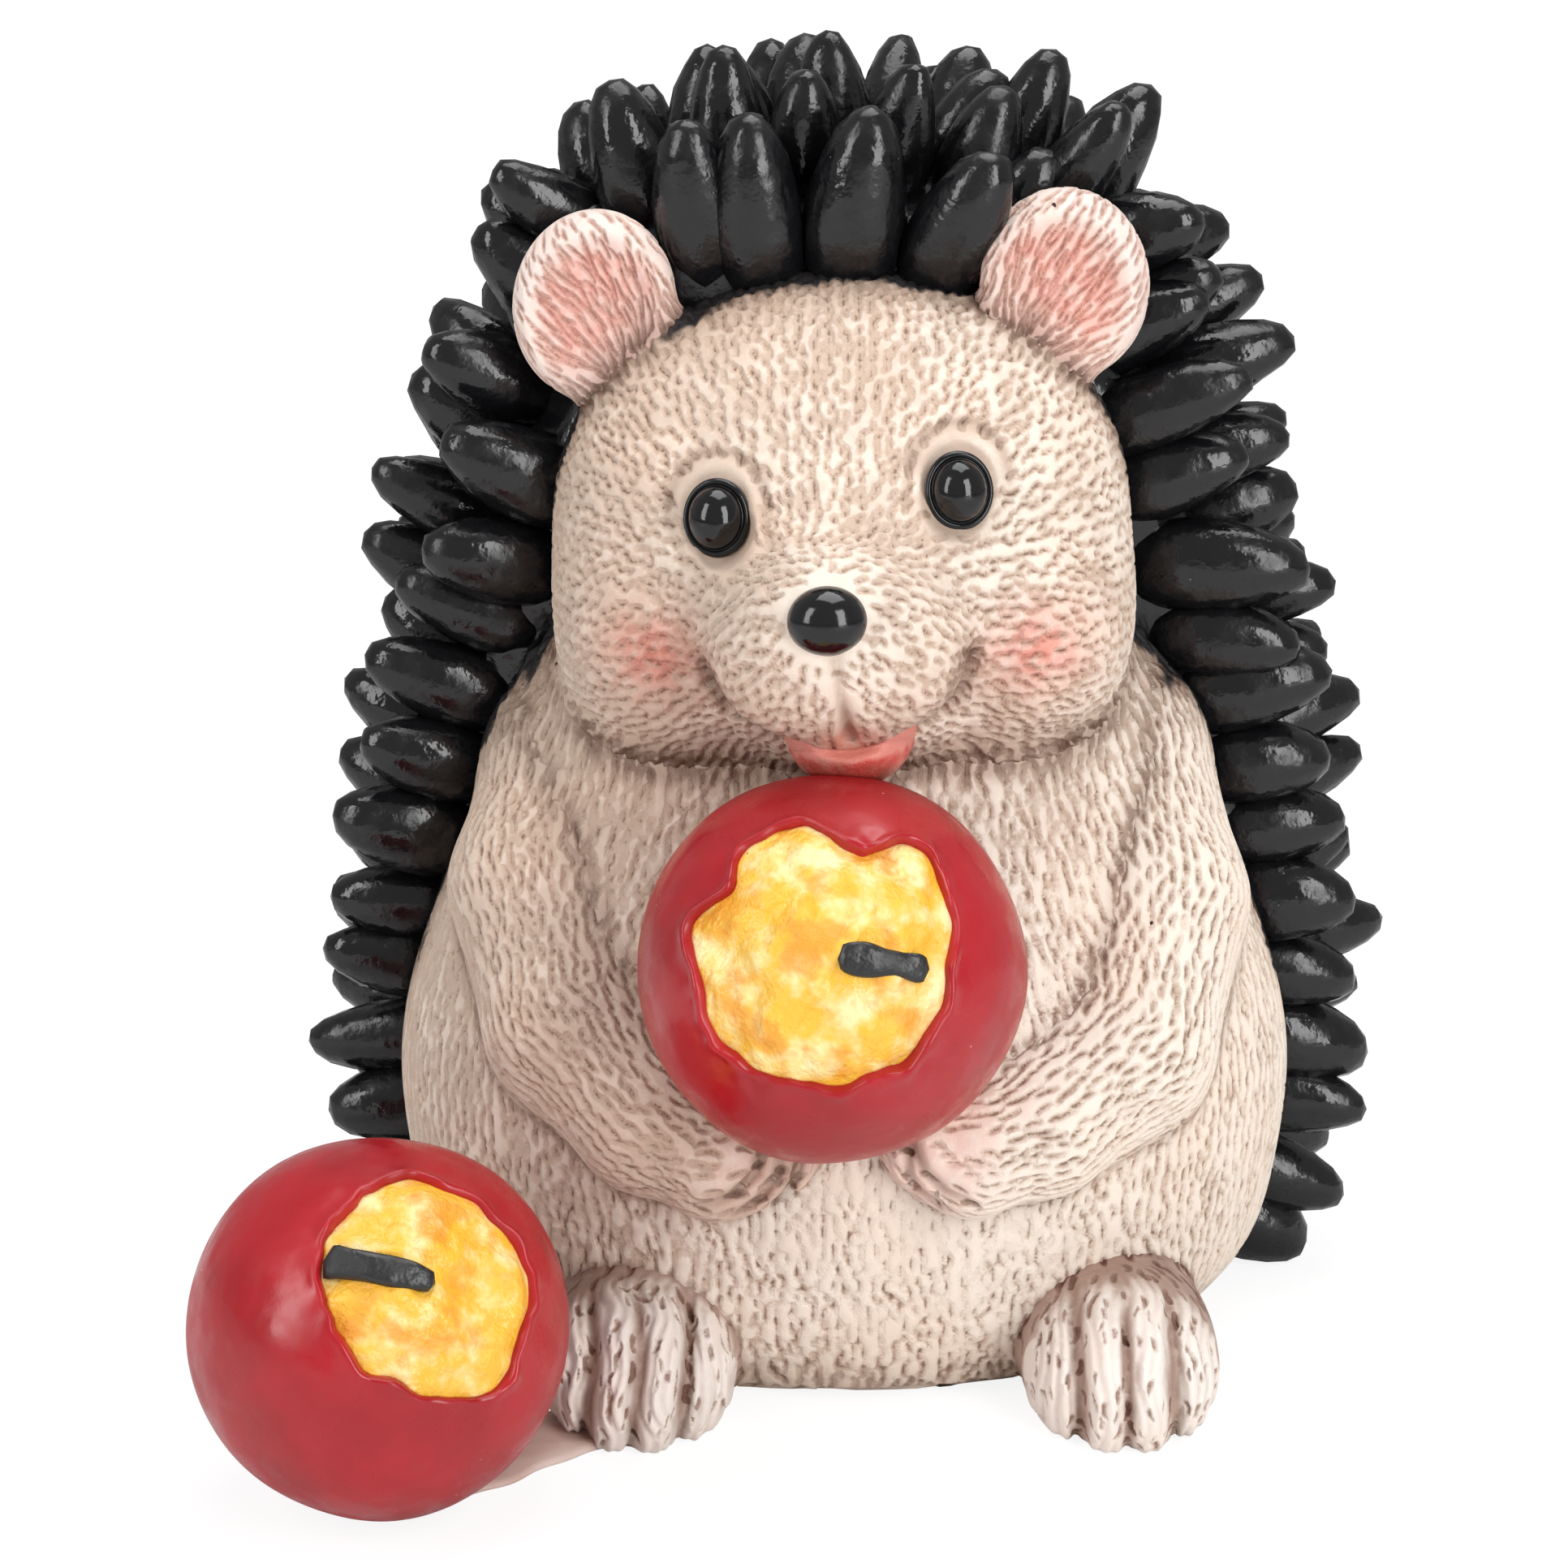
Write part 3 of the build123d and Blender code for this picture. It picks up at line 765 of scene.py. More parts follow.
def brush_group() -> bpy.types.NodeTree:
    """Build the shared group for pale paint brushed over the ridges between carved strokes."""
    ragged_depth, patch_depth = 0.9, 2.2
    ridge_start, ridge_gain = 1.12, 0.55
    graph, given, result = new_group(
        "dry brush", "ShaderNodeTree",
        {
            "Vector": ("NodeSocketVector", None), "Groove": ("NodeSocketFloat", 1.0),
            "Brush": ("NodeSocketFloat", 0.5), "Recess": ("NodeSocketColor", None),
            "Middle": ("NodeSocketColor", None), "Ridge": ("NodeSocketColor", None),
        },
        {"Color": "NodeSocketColor", "Ridges": "NodeSocketFloat", "Height": "NodeSocketFloat"},
    )
    place = given["Vector"]
    ragged = graph.times(graph.centred_noise(place, 0.5, 3.0, 0.7), ragged_depth)
    edge = graph.math("ADD", given["Groove"], ragged)
    patches = graph.times(graph.centred_noise(place, 7.0, 4.0, 0.65), patch_depth)
    load = graph.math("ADD", given["Brush"], patches)
    start = graph.math("SUBTRACT", ridge_start, graph.times(load, ridge_gain))
    ridges = graph.scaled(graph.math("SUBTRACT", edge, start), -0.2, 0.6)
    deep = graph.scaled(edge, 0.6, 0.0)
    middle = graph.mixed(deep, given["Middle"], given["Recess"])
    strength = graph.scaled(load, 0.0, 1.1, 0.12, 1.0)
    graph.link(graph.mixed(graph.times(ridges, strength), middle, given["Ridge"]), result["Color"])
    graph.link(ridges, result["Ridges"])
    graph.link(graph.math("MINIMUM", edge, 1.3), result["Height"])
    return graph.tree


@dataclass
class ShaderKit:
    """The shader groups that the finishes share, each built once."""

    grain: bpy.types.NodeTree = field(default_factory=grain_group)
    specks: bpy.types.NodeTree = field(default_factory=speck_group)
    brush: bpy.types.NodeTree = field(default_factory=brush_group)


class Paint:
    """One material as it is put together from the shared groups."""

    def __init__(self, name: str, kit: ShaderKit) -> None:
        """Start the material.

        Args:
            name: its name.
            kit: the shared groups.
        """
        self.material = bpy.data.materials.new(name)
        self.material.use_nodes = True
        self.kit = kit
        self.graph = Graph(self.material.node_tree)
        self.shader = self.material.node_tree.nodes["Principled BSDF"]
        self.place = self.graph.add("ShaderNodeTexCoord").outputs["Object"]
        self.bump: Optional[bpy.types.Node] = None

    def use(self, tree: bpy.types.NodeTree, **values: Any) -> Any:
        """Place a shared group with its own values and return its outputs."""
        node = self.graph.add("ShaderNodeGroup", node_tree=tree)
        for key, value in {"Vector": self.place, **values}.items():
            self.graph.feed(node.inputs[key], value)
        return node.outputs

    def masked(self, name: str) -> bpy.types.NodeSocket:
        """Return a mask that the surface carries as an attribute."""
        return self.graph.add("ShaderNodeAttribute", attribute_name=name).outputs["Fac"]

    def noise(self, size: float, detail: float = 2.0, roughness: float = 0.5) -> bpy.types.NodeSocket:
        """Return noise over the object whose lumps have a size in millimetres."""
        return self.graph.noise(self.place, size, detail, roughness)

    def specks(self, spacing: float, radius: float, share: float, strength: float = 1.0
               ) -> bpy.types.NodeSocket:
        """Return scattered dots as a mask.

        Args:
            spacing: how far apart they can lie, in millimetres.
            radius: their radius in millimetres.
            share: how many of the places have one.
            strength: the mask's value in a dot.

        Returns:
            The mask.
        """
        mask = self.use(self.kit.specks, Spacing=spacing, Radius=radius, Share=share)["Mask"]
        return mask if strength == 1.0 else self.graph.times(mask, strength)

    def set(self, name: str, value: Any) -> None:
        """Feed one of the shader's inputs."""
        self.graph.feed(self.shader.inputs[name], value)

    def add_bump(self, height: bpy.types.NodeSocket, depth: float) -> None:
        """Add a bump over those set before.

        Args:
            height: the height, from 0 to 1.
            depth: how deep the full height is, in millimetres.
        """
        inputs = {"Height": height, "Distance": depth * MILLIMETRE, "Strength": 1.0}
        if self.bump is not None:
            inputs["Normal"] = self.bump.outputs[0]
        self.bump = self.graph.add("ShaderNodeBump", inputs)
        self.set("Normal", self.bump.outputs[0])


@dataclass(frozen=True)
class CarvedFinish:
    """Carved resin: brown wash in the strokes, pale paint on the ridges, and painted areas over it, among
    them painted shade in the folds and a paler painted light on one side.
    """

    name: str
    recess: Color = (0.27, 0.175, 0.125)
    middle: Color = (0.62, 0.475, 0.375)
    ridge: Color = (0.87, 0.77, 0.67)
    # the dark brown of the wash in hollows, which also paints shade in folds and under things
    crease: Color = (0.13, 0.065, 0.04)
    blush: Color = (0.9, 0.25, 0.2)
    soot: Color = (0.012, 0.01, 0.01)
    warm: Color = (1.0, 0.86, 0.78)
    pinhole: Color = (0.05, 0.02, 0.015)
    blush_strength: float = 0.75
    roughness: float = 0.52
    shine: float = 0.38

    def material(self, kit: ShaderKit) -> bpy.types.Material:
        """Build the material from the masks that the surface carries."""
        paint = Paint(self.name, kit)
        graph = paint.graph
        brushed = paint.use(
            kit.brush, Groove=paint.masked("groove"), Brush=paint.masked(Mask.BRUSH.value),
            Recess=self.recess, Middle=self.middle, Ridge=self.ridge,
        )
        tint = graph.scaled(paint.noise(14.0), 0.35, 0.7, 0.0, 0.35)
        color = graph.mixed(tint, brushed["Color"], self.warm, "MULTIPLY")
        rubbed = graph.scaled(paint.noise(2.2, 3.0, 0.7), 0.3, 0.6, 0.35, 1.0)
        stain = graph.times(paint.masked(Mask.BLUSH.value), rubbed, self.blush_strength)
        color = graph.mixed(stain, color, self.blush, "MULTIPLY")
        # the dark brown goes on by its mask, patchy and less on the ridges: brown wash and painted shade
        # together
        patchy = graph.scaled(paint.noise(4.0, 3.0, 0.6), 0.3, 0.62, 0.45, 1.0)
        kept = graph.scaled(brushed["Ridges"], 0.0, 1.0, 1.0, 0.45)
        color = graph.mixed(graph.times(paint.masked(Mask.CREASE.value), patchy, kept), color, self.crease)
        mist = graph.times(graph.centred_noise(paint.place, 2.0, 4.0, 0.7), 0.6)
        spray = graph.math("ADD", paint.masked(Mask.SOOT.value), mist)
        color = graph.mixed(graph.scaled(spray, 0.35, 0.85), color, self.soot)
        paint.set("Base Color", graph.mixed(paint.specks(6.0, 0.3, 0.1), color, self.pinhole))
        grain = paint.use(kit.grain, Size=0.25)
        worn = graph.scaled(grain["Patches"], 0.0, 1.0, self.roughness - 0.07, self.roughness + 0.1)
        paint.set("Roughness", worn)
        paint.set("Specular IOR Level", self.shine)
        paint.add_bump(brushed["Height"], 0.16)
        paint.add_bump(grain["Height"], 0.05)
        return paint.material


@dataclass(frozen=True)
class QuillFinish:
    """Black paint on uneven resin, satin with glossier patches and a little dust."""

    name: str = "satin black quills"
    color: Color = (0.0055, 0.0055, 0.0065)
    dust: Color = (0.3, 0.3, 0.29)

    def material(self, kit: ShaderKit) -> bpy.types.Material:
        """Build the material."""
        paint = Paint(self.name, kit)
        dusty = paint.specks(2.6, 0.11, 0.3, 0.6)
        paint.set("Base Color", paint.graph.mixed(dusty, self.color, self.dust))
        paint.set("Roughness", paint.graph.scaled(paint.noise(3.5, 3.0, 0.6), 0.35, 0.65, 0.1, 0.3))
        paint.set("Specular IOR Level", 0.5)
        paint.add_bump(paint.noise(3.0, 3.0), 0.3)
        paint.add_bump(paint.use(kit.grain, Size=0.55)["Height"], 0.025)
        paint.add_bump(paint.graph.math("SUBTRACT", 1.0, paint.specks(4.5, 0.35, 0.35)), 0.12)
        return paint.material


@dataclass(frozen=True)
class GlossFinish:
    """Thick gloss paint on a smooth form, with slow ripples in it."""

    name: str
    color: Color
    variation: Color
    roughness: float = 0.1
    ripple_size: float = 6.0
    ripple_depth: float = 0.12
    speck: Color = (0.8, 0.6, 0.55)
    speck_share: float = 0.12

    def material(self, kit: ShaderKit) -> bpy.types.Material:
        """Build the material."""
        paint = Paint(self.name, kit)
        graph = paint.graph
        broad = graph.scaled(paint.noise(16.0, 3.0, 0.55), 0.35, 0.65)
        color = graph.mixed(broad, self.color, self.variation)
        specks = paint.specks(3.2, 0.13, self.speck_share, 0.7)
        paint.set("Base Color", graph.mixed(specks, color, self.speck))
        grain = paint.use(kit.grain, Size=0.4)
        dullest = 1.7 * self.roughness
        paint.set("Roughness", graph.scaled(grain["Patches"], 0.0, 1.0, self.roughness, dullest))
        paint.add_bump(paint.noise(self.ripple_size), self.ripple_depth)
        paint.add_bump(grain["Height"], 0.012)
        return paint.material


@dataclass(frozen=True)
class FleshFinish:
    """Yellow paint, thick and streaky, over lumpy flesh."""

    name: str = "yellow flesh"
    color: Color = (0.9, 0.5, 0.045)
    pale: Color = (0.95, 0.8, 0.4)
    deep: Color = (0.82, 0.33, 0.03)
    pinhole: Color = (0.3, 0.08, 0.02)

    def material(self, kit: ShaderKit) -> bpy.types.Material:
        """Build the material."""
        paint = Paint(self.name, kit)
        graph = paint.graph
        thick = graph.scaled(paint.noise(5.5, 3.0, 0.6), 0.42, 0.7)
        thin = graph.scaled(paint.noise(6.0, 3.0, 0.55), 0.5, 0.66, 0.0, 0.85)
        color = graph.mixed(thin, graph.mixed(thick, self.color, self.pale), self.deep)
        paint.set("Base Color", graph.mixed(paint.specks(4.2, 0.16, 0.25, 0.7), color, self.pinhole))
        grain = paint.use(kit.grain, Size=0.6)
        paint.set("Roughness", graph.scaled(grain["Patches"], 0.0, 1.0, 0.3, 0.5))
        paint.add_bump(paint.noise(2.6, 3.0, 0.6), 0.8)
        paint.add_bump(grain["Height"], 0.06)
        return paint.material


# The carved animal


@dataclass(frozen=True)
class CoatPlane:
    """The leaning plane where the fur ends and the quills start."""

    front_at_base: float = 3.0
    lean: float = 7.3

    def behind(self, points: Array) -> Array:
        """Return how far each place lies behind the plane."""
        lean = math.radians(self.lean)
        return (points[:, 1] - self.front_at_base) * math.cos(lean) + points[:, 2] * math.sin(lean)


@dataclass(frozen=True)
class HeadFrame:
    """The head's own directions: side to its left, forward along the face, and rise."""

    centre: tuple[float, float, float] = (-0.5, -8.0, 106.0)
    roll: float = 3.2
    yaw: float = 3.0

    def axes(self) -> Array:
        """Return the side, forward and rise directions as rows."""
        yaw = Matrix.Rotation(-math.radians(self.yaw), 3, "Z")
        turn = yaw @ Matrix.Rotation(-math.radians(self.roll), 3, "Y")
        return np.array([turn @ Vector(v) for v in ((1, 0, 0), (0, -1, 0), (0, 0, 1))])

    def local(self, points: Array) -> Array:
        """Return the side, forward and rise of each place, in columns."""
        return (points - np.asarray(self.centre)) @ self.axes().T

    def place(self, side: float, forward: float, rise: float) -> Array:
        """Return the place with the given side, forward and rise."""
        return np.asarray(self.centre) + np.array([side, forward, rise]) @ self.axes()


@dataclass
class CarvedPiece:
    """One form of the carved animal, with its own share of the joined surface.

    The stroke sizes are in millimetres. The object is named after the node, with the ending.
    """

    node: str = ""
    ending: str = "carved"
    finish: Optional[CarvedFinish] = None
    slot: str = "fur"
    low: tuple[float, float, float] = (0.0, 0.0, 0.0)
    high: tuple[float, float, float] = (0.0, 0.0, 0.0)
    blend: float = 3.0
    cell: float = 1.35
    halvings: int = 2
    spacing: float = 1.4
    stroke: float = 2.4
    half_width: float = 0.44
    depth: float = 0.44
    # share of the black overspray and of the painted shade below the quill coat
    sooted_and_shaded: float = 1.0
    seed: int = 1

    def distance(self, points: Array) -> Array:
        """Return distances to this form alone."""
        raise NotImplementedError

    def detail(self, points: Array, joined: Array) -> Array:
        """Return the joined field with this form's own carved details, by default none."""
        return joined

    def flow(self, points: Array) -> Array:
        """Return the direction that the fur lies in, before it is laid on the surface."""
        return np.tile([0.0, 0.0, -1.0], (len(points), 1))

    def masks(self, points: Array) -> dict[Mask, Array]:
        """Return the painted areas of this form."""
        return {}


@dataclass
class Torso(CarvedPiece):
    """The pear-shaped torso, flat underneath."""

    half_width_mm: float = 56.5
    half_depth_mm: float = 42.0
    height: float = 98.0
    seen: bool = True
    levels: tuple[float, ...] = (0.0, 0.08, 0.2, 0.37, 0.55, 0.72, 0.88, 1.0)
    widths: tuple[float, ...] = (0.8, 0.92, 0.985, 1.0, 0.92, 0.815, 0.715, 0.52)
    depths: tuple[float, ...] = (0.9, 0.95, 0.98, 1.0, 0.93, 0.81, 0.68, 0.54)
    forwards: tuple[float, ...] = (0.02, 0.06, 0.1, 0.14, 0.14, 0.12, 0.08, 0.02)

    def __post_init__(self) -> None:
        """Draw the loft once."""
        self.loft = Loft(
            tuple(v * self.height for v in self.levels),
            tuple(v * self.half_width_mm for v in self.widths),
            tuple(v * self.half_depth_mm for v in self.depths),
            tuple(v * self.half_depth_mm for v in self.forwards),
        )

    def distance(self, points: Array) -> Array:
        """Return distances to the pear's seen front, or to its hidden back and underside."""
        whole = self.loft.distance(points[:, 0], points[:, 2], -points[:, 1])
        hidden = np.maximum(CoatPlane().behind(points) + 1.0, 1.2 - points[:, 2])
        return np.maximum(whole, hidden if self.seen else -hidden)

    def flow(self, points: Array) -> Array:
        """Return a flow that runs down and a little outwards."""
        down = np.tile([0.0, 0.0, -1.0], (len(points), 1))
        down[:, 0] = 0.2 * points[:, 0] / self.half_width_mm
        return down

    def masks(self, points: Array) -> dict[Mask, Array]:
        """Return the chest darkened as painted shade under the head, painted shade near the floor, the pale
        belly, and a paler painted light on the animal's left side.
        """
        chest = ramp(points[:, 2], 60.0, 84.0) * ramp(points[:, 1], -8.0, -22.0)
        under = ramp(points[:, 2], 9.0, 1.0)
        belly = hump(points[:, 0], 30.0) * hump(points[:, 2] - 30.0, 26.0)
        return {
            # painted shade: the chest under the head and the bottom near the floor are darkened
            Mask.CREASE: np.clip(0.1 * chest + 0.5 * under, 0, 1),
            # the ramp across X paints the animal's left side paler: painted light for the brighter lamp there
            Mask.BRUSH: 0.35 + 1.0 * belly + 0.7 * ramp(points[:, 0], -30.0, 30.0),
        }


@dataclass
class Head(CarvedPiece):
    """The head with its cheeks, muzzle, eye lids and smile."""

    place: HeadFrame = HeadFrame()
    half_width_mm: float = 35.0
    half_height_mm: float = 29.5
    reach: float = 51.0
    forwards: tuple[float, ...] = (-0.58, -0.42, -0.18, 0.08, 0.3, 0.47, 0.59, 0.7, 0.82, 0.93, 1.0)
    widths: tuple[float, ...] = (0.42, 0.7, 0.93, 1.0, 0.96, 0.82, 0.64, 0.49, 0.39, 0.28, 0.12)
    heights: tuple[float, ...] = (0.45, 0.74, 0.95, 1.0, 0.96, 0.8, 0.6, 0.48, 0.41, 0.31, 0.14)
    rises: tuple[float, ...] = (0.0, 0.0, 0.0, 0.0, -0.05, -0.14, -0.23, -0.28, -0.28, -0.24, -0.19)
    eyes: tuple[tuple[float, float], ...] = ((-12.9, 5.0), (14.8, 6.75))
    eye_forward: float = 35.6
    socket: tuple[float, float, float] = (4.5, 5.0, 5.1)
    lid: float = 4.9
    lid_height: float = 1.14
    fold: float = 6.1
    nose: tuple[float, float, float] = (0.0, 49.0, -3.2)
    blushes: tuple[tuple[float, float], ...] = ((-21.5, -10.5), (23.0, -12.0))
    right_smile: tuple[tuple[float, float], ...] = (
        (-14.9, -10.6), (-14.3, -12.6), (-12.0, -16.4), (-8.2, -18.5), (-4.5, -19.8),
    )
    left_smile: tuple[tuple[float, float], ...] = (
        (15.6, -10.4), (15.0, -12.4), (13.7, -15.0), (11.6, -17.6), (8.4, -19.0),
    )
    smile_depths: tuple[float, ...] = (1.2, 2.0, 1.8, 1.5, 1.2)
    smile_shades: tuple[float, ...] = (0.9, 0.7, 0.6, 0.4)
    cleft: tuple[tuple[float, float], ...] = ((0.6, -7.8), (1.0, -12.5), (1.6, -17.8))

    def __post_init__(self) -> None:
        """Draw the skull once."""
        self.skull = Loft(
            tuple(v * self.reach for v in self.forwards),
            tuple(v * self.half_width_mm for v in self.widths),
            tuple(v * self.half_height_mm for v in self.heights),
            tuple(v * self.half_height_mm for v in self.rises),
        )

    def distance(self, points: Array) -> Array:
        """Return distances to the skull, cheeks, muzzle and chin together."""
        local = self.place.local(points)
        result = self.skull.distance(local[:, 0], local[:, 1], local[:, 2])
        for sign in (-1, 1):
            result = soft_min(result, egg(local, (sign * 18.0, 12.5, -14.0), (16.5, 16.5, 16.5)), 7.0)
            result = soft_min(result, egg(local, (sign * 20.5, 23.5, -12.0), (9.5, 9.0, 9.5)), 6.0)
            result = soft_min(result, egg(local, (sign * 6.3 + 0.8, 37.6, -11.4), (8.8, 9.0, 7.6)), 4.0)
        return soft_min(result, egg(local, (1.5, 29.0, -19.0), (11.0, 8.0, 6.5)), 4.0)

    def detail(self, points: Array, joined: Array) -> Array:
        """Carve the smile, the cleft under the nose, and the sockets and lids of the eyes."""
        local = self.place.local(points)
        side, forward, rise = local.T
        front = ramp(forward, 12.0, 20.0)
        cuts = carved_lines(local, (self.right_smile, self.left_smile), 1.5, self.smile_depths)
        cuts += carved_line(side, rise, self.cleft, 0.95, (0.9, 1.5, 2.4))
        for across, up in self.eyes:
            gap = np.hypot(side - across, (rise - up) / self.lid_height)
            cuts += 0.6 * hump(gap - self.fold, 0.5) * ramp(rise - up, -3.5, 2.0)
            cuts -= 0.4 * hump(gap - self.lid, 0.6)
        joined = joined + cuts * front
        for across, up in self.eyes:
            joined = soft_max(joined, -egg(local, (across, self.eye_forward, up), self.socket), 0.5)
        return joined

    def flow(self, points: Array) -> Array:
        """Return a flow that spreads from the nose."""
        return points - self.place.place(0.0, 44.0, -4.0)

    def masks(self, points: Array) -> dict[Mask, Array]:
        """Return the smooth places, the blush on the cheeks, the dark of the smile, brown wash and painted
        shade over and round the eyes, painted shade under the chin, and a paler painted light on the animal's
        left side.
        """
        side, forward, rise = self.place.local(points).T
        fur = np.ones(len(points))
        crease, lids = np.zeros(len(points)), np.zeros(len(points))
        for across, up in self.eyes:
            gap = np.hypot(side - across, (rise - up) / self.lid_height)
            bare = 4.3 + 1.0 * ramp(rise - up, -1.0, 3.0)
            fur *= np.where(forward > 12, ramp(gap - bare, 0.0, 0.6), 1.0)
            # the fold over each eye and the ring round the bead are darkened: brown wash and painted shade
            crease += 0.6 * hump(gap - self.fold, 0.5) * ramp(rise - up, -3.0, 2.0)
            crease += 0.8 * ramp(gap, 4.6, 4.0)
            lids = lids + ramp(gap, 6.3, 5.6)
        to_nose = np.hypot(side - self.nose[0], rise - self.nose[2])
        fur *= np.where(forward > 35, ramp(to_nose, 4.6, 5.6), 1.0)
        smile = carved_line(side, rise, self.right_smile, 1.4, (0.9, *self.smile_shades))
        smile += carved_line(side, rise, self.left_smile, 1.4, (1.0, *self.smile_shades))
        cleft = carved_line(side, rise, self.cleft, 0.7, (0.4, 0.5, 0.9))
        smooth = carved_line(side, rise, self.cleft, 1.5, (0.6, 0.9, 1.0))
        blush = np.zeros(len(points))
        for across, up in self.blushes:
            blush += hump(np.hypot(side - across, (rise - up) * 1.1), 6.0)
        lips = hump(np.hypot((side - 1.8) / 1.9, rise + 18.6), 2.0) * ramp(forward, 30.0, 38.0)
        brow = hump(side, 9.0) * hump(rise - 9.0, 11.0)
        tip = hump(np.hypot(side, rise + 9.0), 8.0)
        # painted shade under the chin
        chin = ramp(rise, -19.0, -26.0)
        return {
            Mask.FUR: fur * (1.0 - ramp(smooth, 0.2, 0.6)),
            Mask.CREASE: np.clip(crease + (smile + cleft) * ramp(forward, 12.0, 20.0) + 0.4 * chin, 0, 1),
            Mask.BLUSH: np.clip(blush + lips, 0, 1) * ramp(forward, 8.0, 14.0),
            # the ramp in side paints the animal's left side paler: painted light for the brighter lamp there
            Mask.BRUSH: 0.3 + 0.35 * brow + 0.6 * tip - 0.3 * lids + 0.5 * ramp(side, 0.0, 20.0),
        }


@dataclass
class Ear(CarvedPiece):
    """A round cupped ear on the head."""

    place: HeadFrame = HeadFrame()
    side: Side = Side.LEFT
    radius: float = 10.4
    reach: tuple[float, float, float] = (27.2, 4.2, 26.2)
    splay: float = 16.0
    pitch: float = 12.0

    def __post_init__(self) -> None:
        """Settle where the ear stands and where it faces."""
        front = self.place.axes()[1]
        pitched = Matrix.Rotation(-math.radians(self.pitch), 3, "X") @ Vector(front)
        facing = Matrix.Rotation(math.radians(self.side.value * self.splay), 3, "Z") @ pitched
        self.back = self.place.place(self.side.value * self.reach[0], *self.reach[1:])
        self.axes = facing_axes(facing)

    def local(self, points: Array) -> Array:
        """Return across, up and forward of each place on the ear, in columns."""
        return (points - self.back) @ self.axes.T

    def distance(self, points: Array) -> Array:
        """Return distances to the cupped disc."""
        local = self.local(points)
        disc = egg(local, (0.0, -0.4, 3.4), (self.radius, self.radius + 1.0, 4.4))
        cup = egg(local, (-1.6 * self.side.value, -2.0, 8.8), (10.0, 10.8, 4.9))
        return soft_max(disc, -cup, 1.0)

    def flow(self, points: Array) -> Array:
        """Return a flow that fans out from the ear's root."""
        root = self.back - 15.0 * self.side.value * np.array([1.0, 0, 0]) + np.array([0, -4.0, -20.0])
        return points - root

    def masks(self, points: Array) -> dict[Mask, Array]:
        """Return the pink of the cup, its pale rim, and painted shade toward its root."""
        across, up, forward = self.local(points).T
        gap = np.hypot(across + 1.5 * self.side.value, up + 1.5)
        inside = ramp(gap, 9.6, 6.0) * ramp(forward, 2.0, 4.0)
        # the cup is darkened toward its root as painted shade, and less pink there
        root = ramp(up + self.side.value * across, -3.0, -10.0)
        return {
            Mask.FUR: 0.85 + 0.15 * inside,
            Mask.BLUSH: inside * (1.0 - 0.8 * root),
            Mask.CREASE: 0.2 * root,
            Mask.BRUSH: 0.9 - 0.2 * inside,
        }


@dataclass
class Arm(CarvedPiece):
    """An arm that bends round the apple, with the hand's fingers cut into it."""

    side: Side = Side.LEFT
    torso: Optional[Torso] = None
    radius: float = 11.5
    radius_shares: tuple[float, ...] = (0.55, 0.95, 1.02, 0.95, 0.76, 0.66, 0.5)
    path_shares: tuple[tuple[float, float, float], ...] = ()
    fingers: tuple[tuple[tuple[float, float], ...], ...] = ()
    finger_reach: tuple[float, float] = (-36.0, -42.0)
    # how much paler the arm is painted: painted light on the side of the brighter lamp
    painted_light: float = 0.0

    def __post_init__(self) -> None:
        """Work out the path from the torso's sizes."""
        torso = self.torso
        sizes = np.array([self.side.value * torso.half_width_mm, torso.half_depth_mm, torso.height])
        self.path = np.asarray(self.path_shares) * sizes

    def distance(self, points: Array) -> Array:
        """Return distances to the arm."""
        return tapered_rod(points, self.path, [self.radius * share for share in self.radius_shares])

    def detail(self, points: Array, joined: Array) -> Array:
        """Cut the lines between the fingers."""
        front = ramp(points[:, 1], *self.finger_reach)
        return joined + front * carved_lines(points, self.fingers, 0.75, (0.9, 1.3, 1.2, 0.5))

    def flow(self, points: Array) -> Array:
        """Return the direction of the path."""
        return along_path(points, self.path)[2]

    def masks(self, points: Array) -> dict[Mask, Array]:
        """Return the brown lines between the fingers, and the paler painted light on the arm that faces the
        brighter lamp.
        """
        lines = carved_lines(points, self.fingers, 0.8, (0.8, 0.9, 0.8, 0.5))
        lines *= ramp(points[:, 1], *self.finger_reach)
        _, place, _ = along_path(points, self.path)
        hand = ramp(place, len(self.path) - 2.4, len(self.path) - 1.2)
        return {
            Mask.FUR: 1.0 - 0.4 * hand,
            Mask.CREASE: np.clip(lines, 0, 1),
            Mask.BLUSH: 0.3 * hand,
            # the added paleness is painted light
            Mask.BRUSH: 0.3 + 0.3 * hand + self.painted_light,
        }


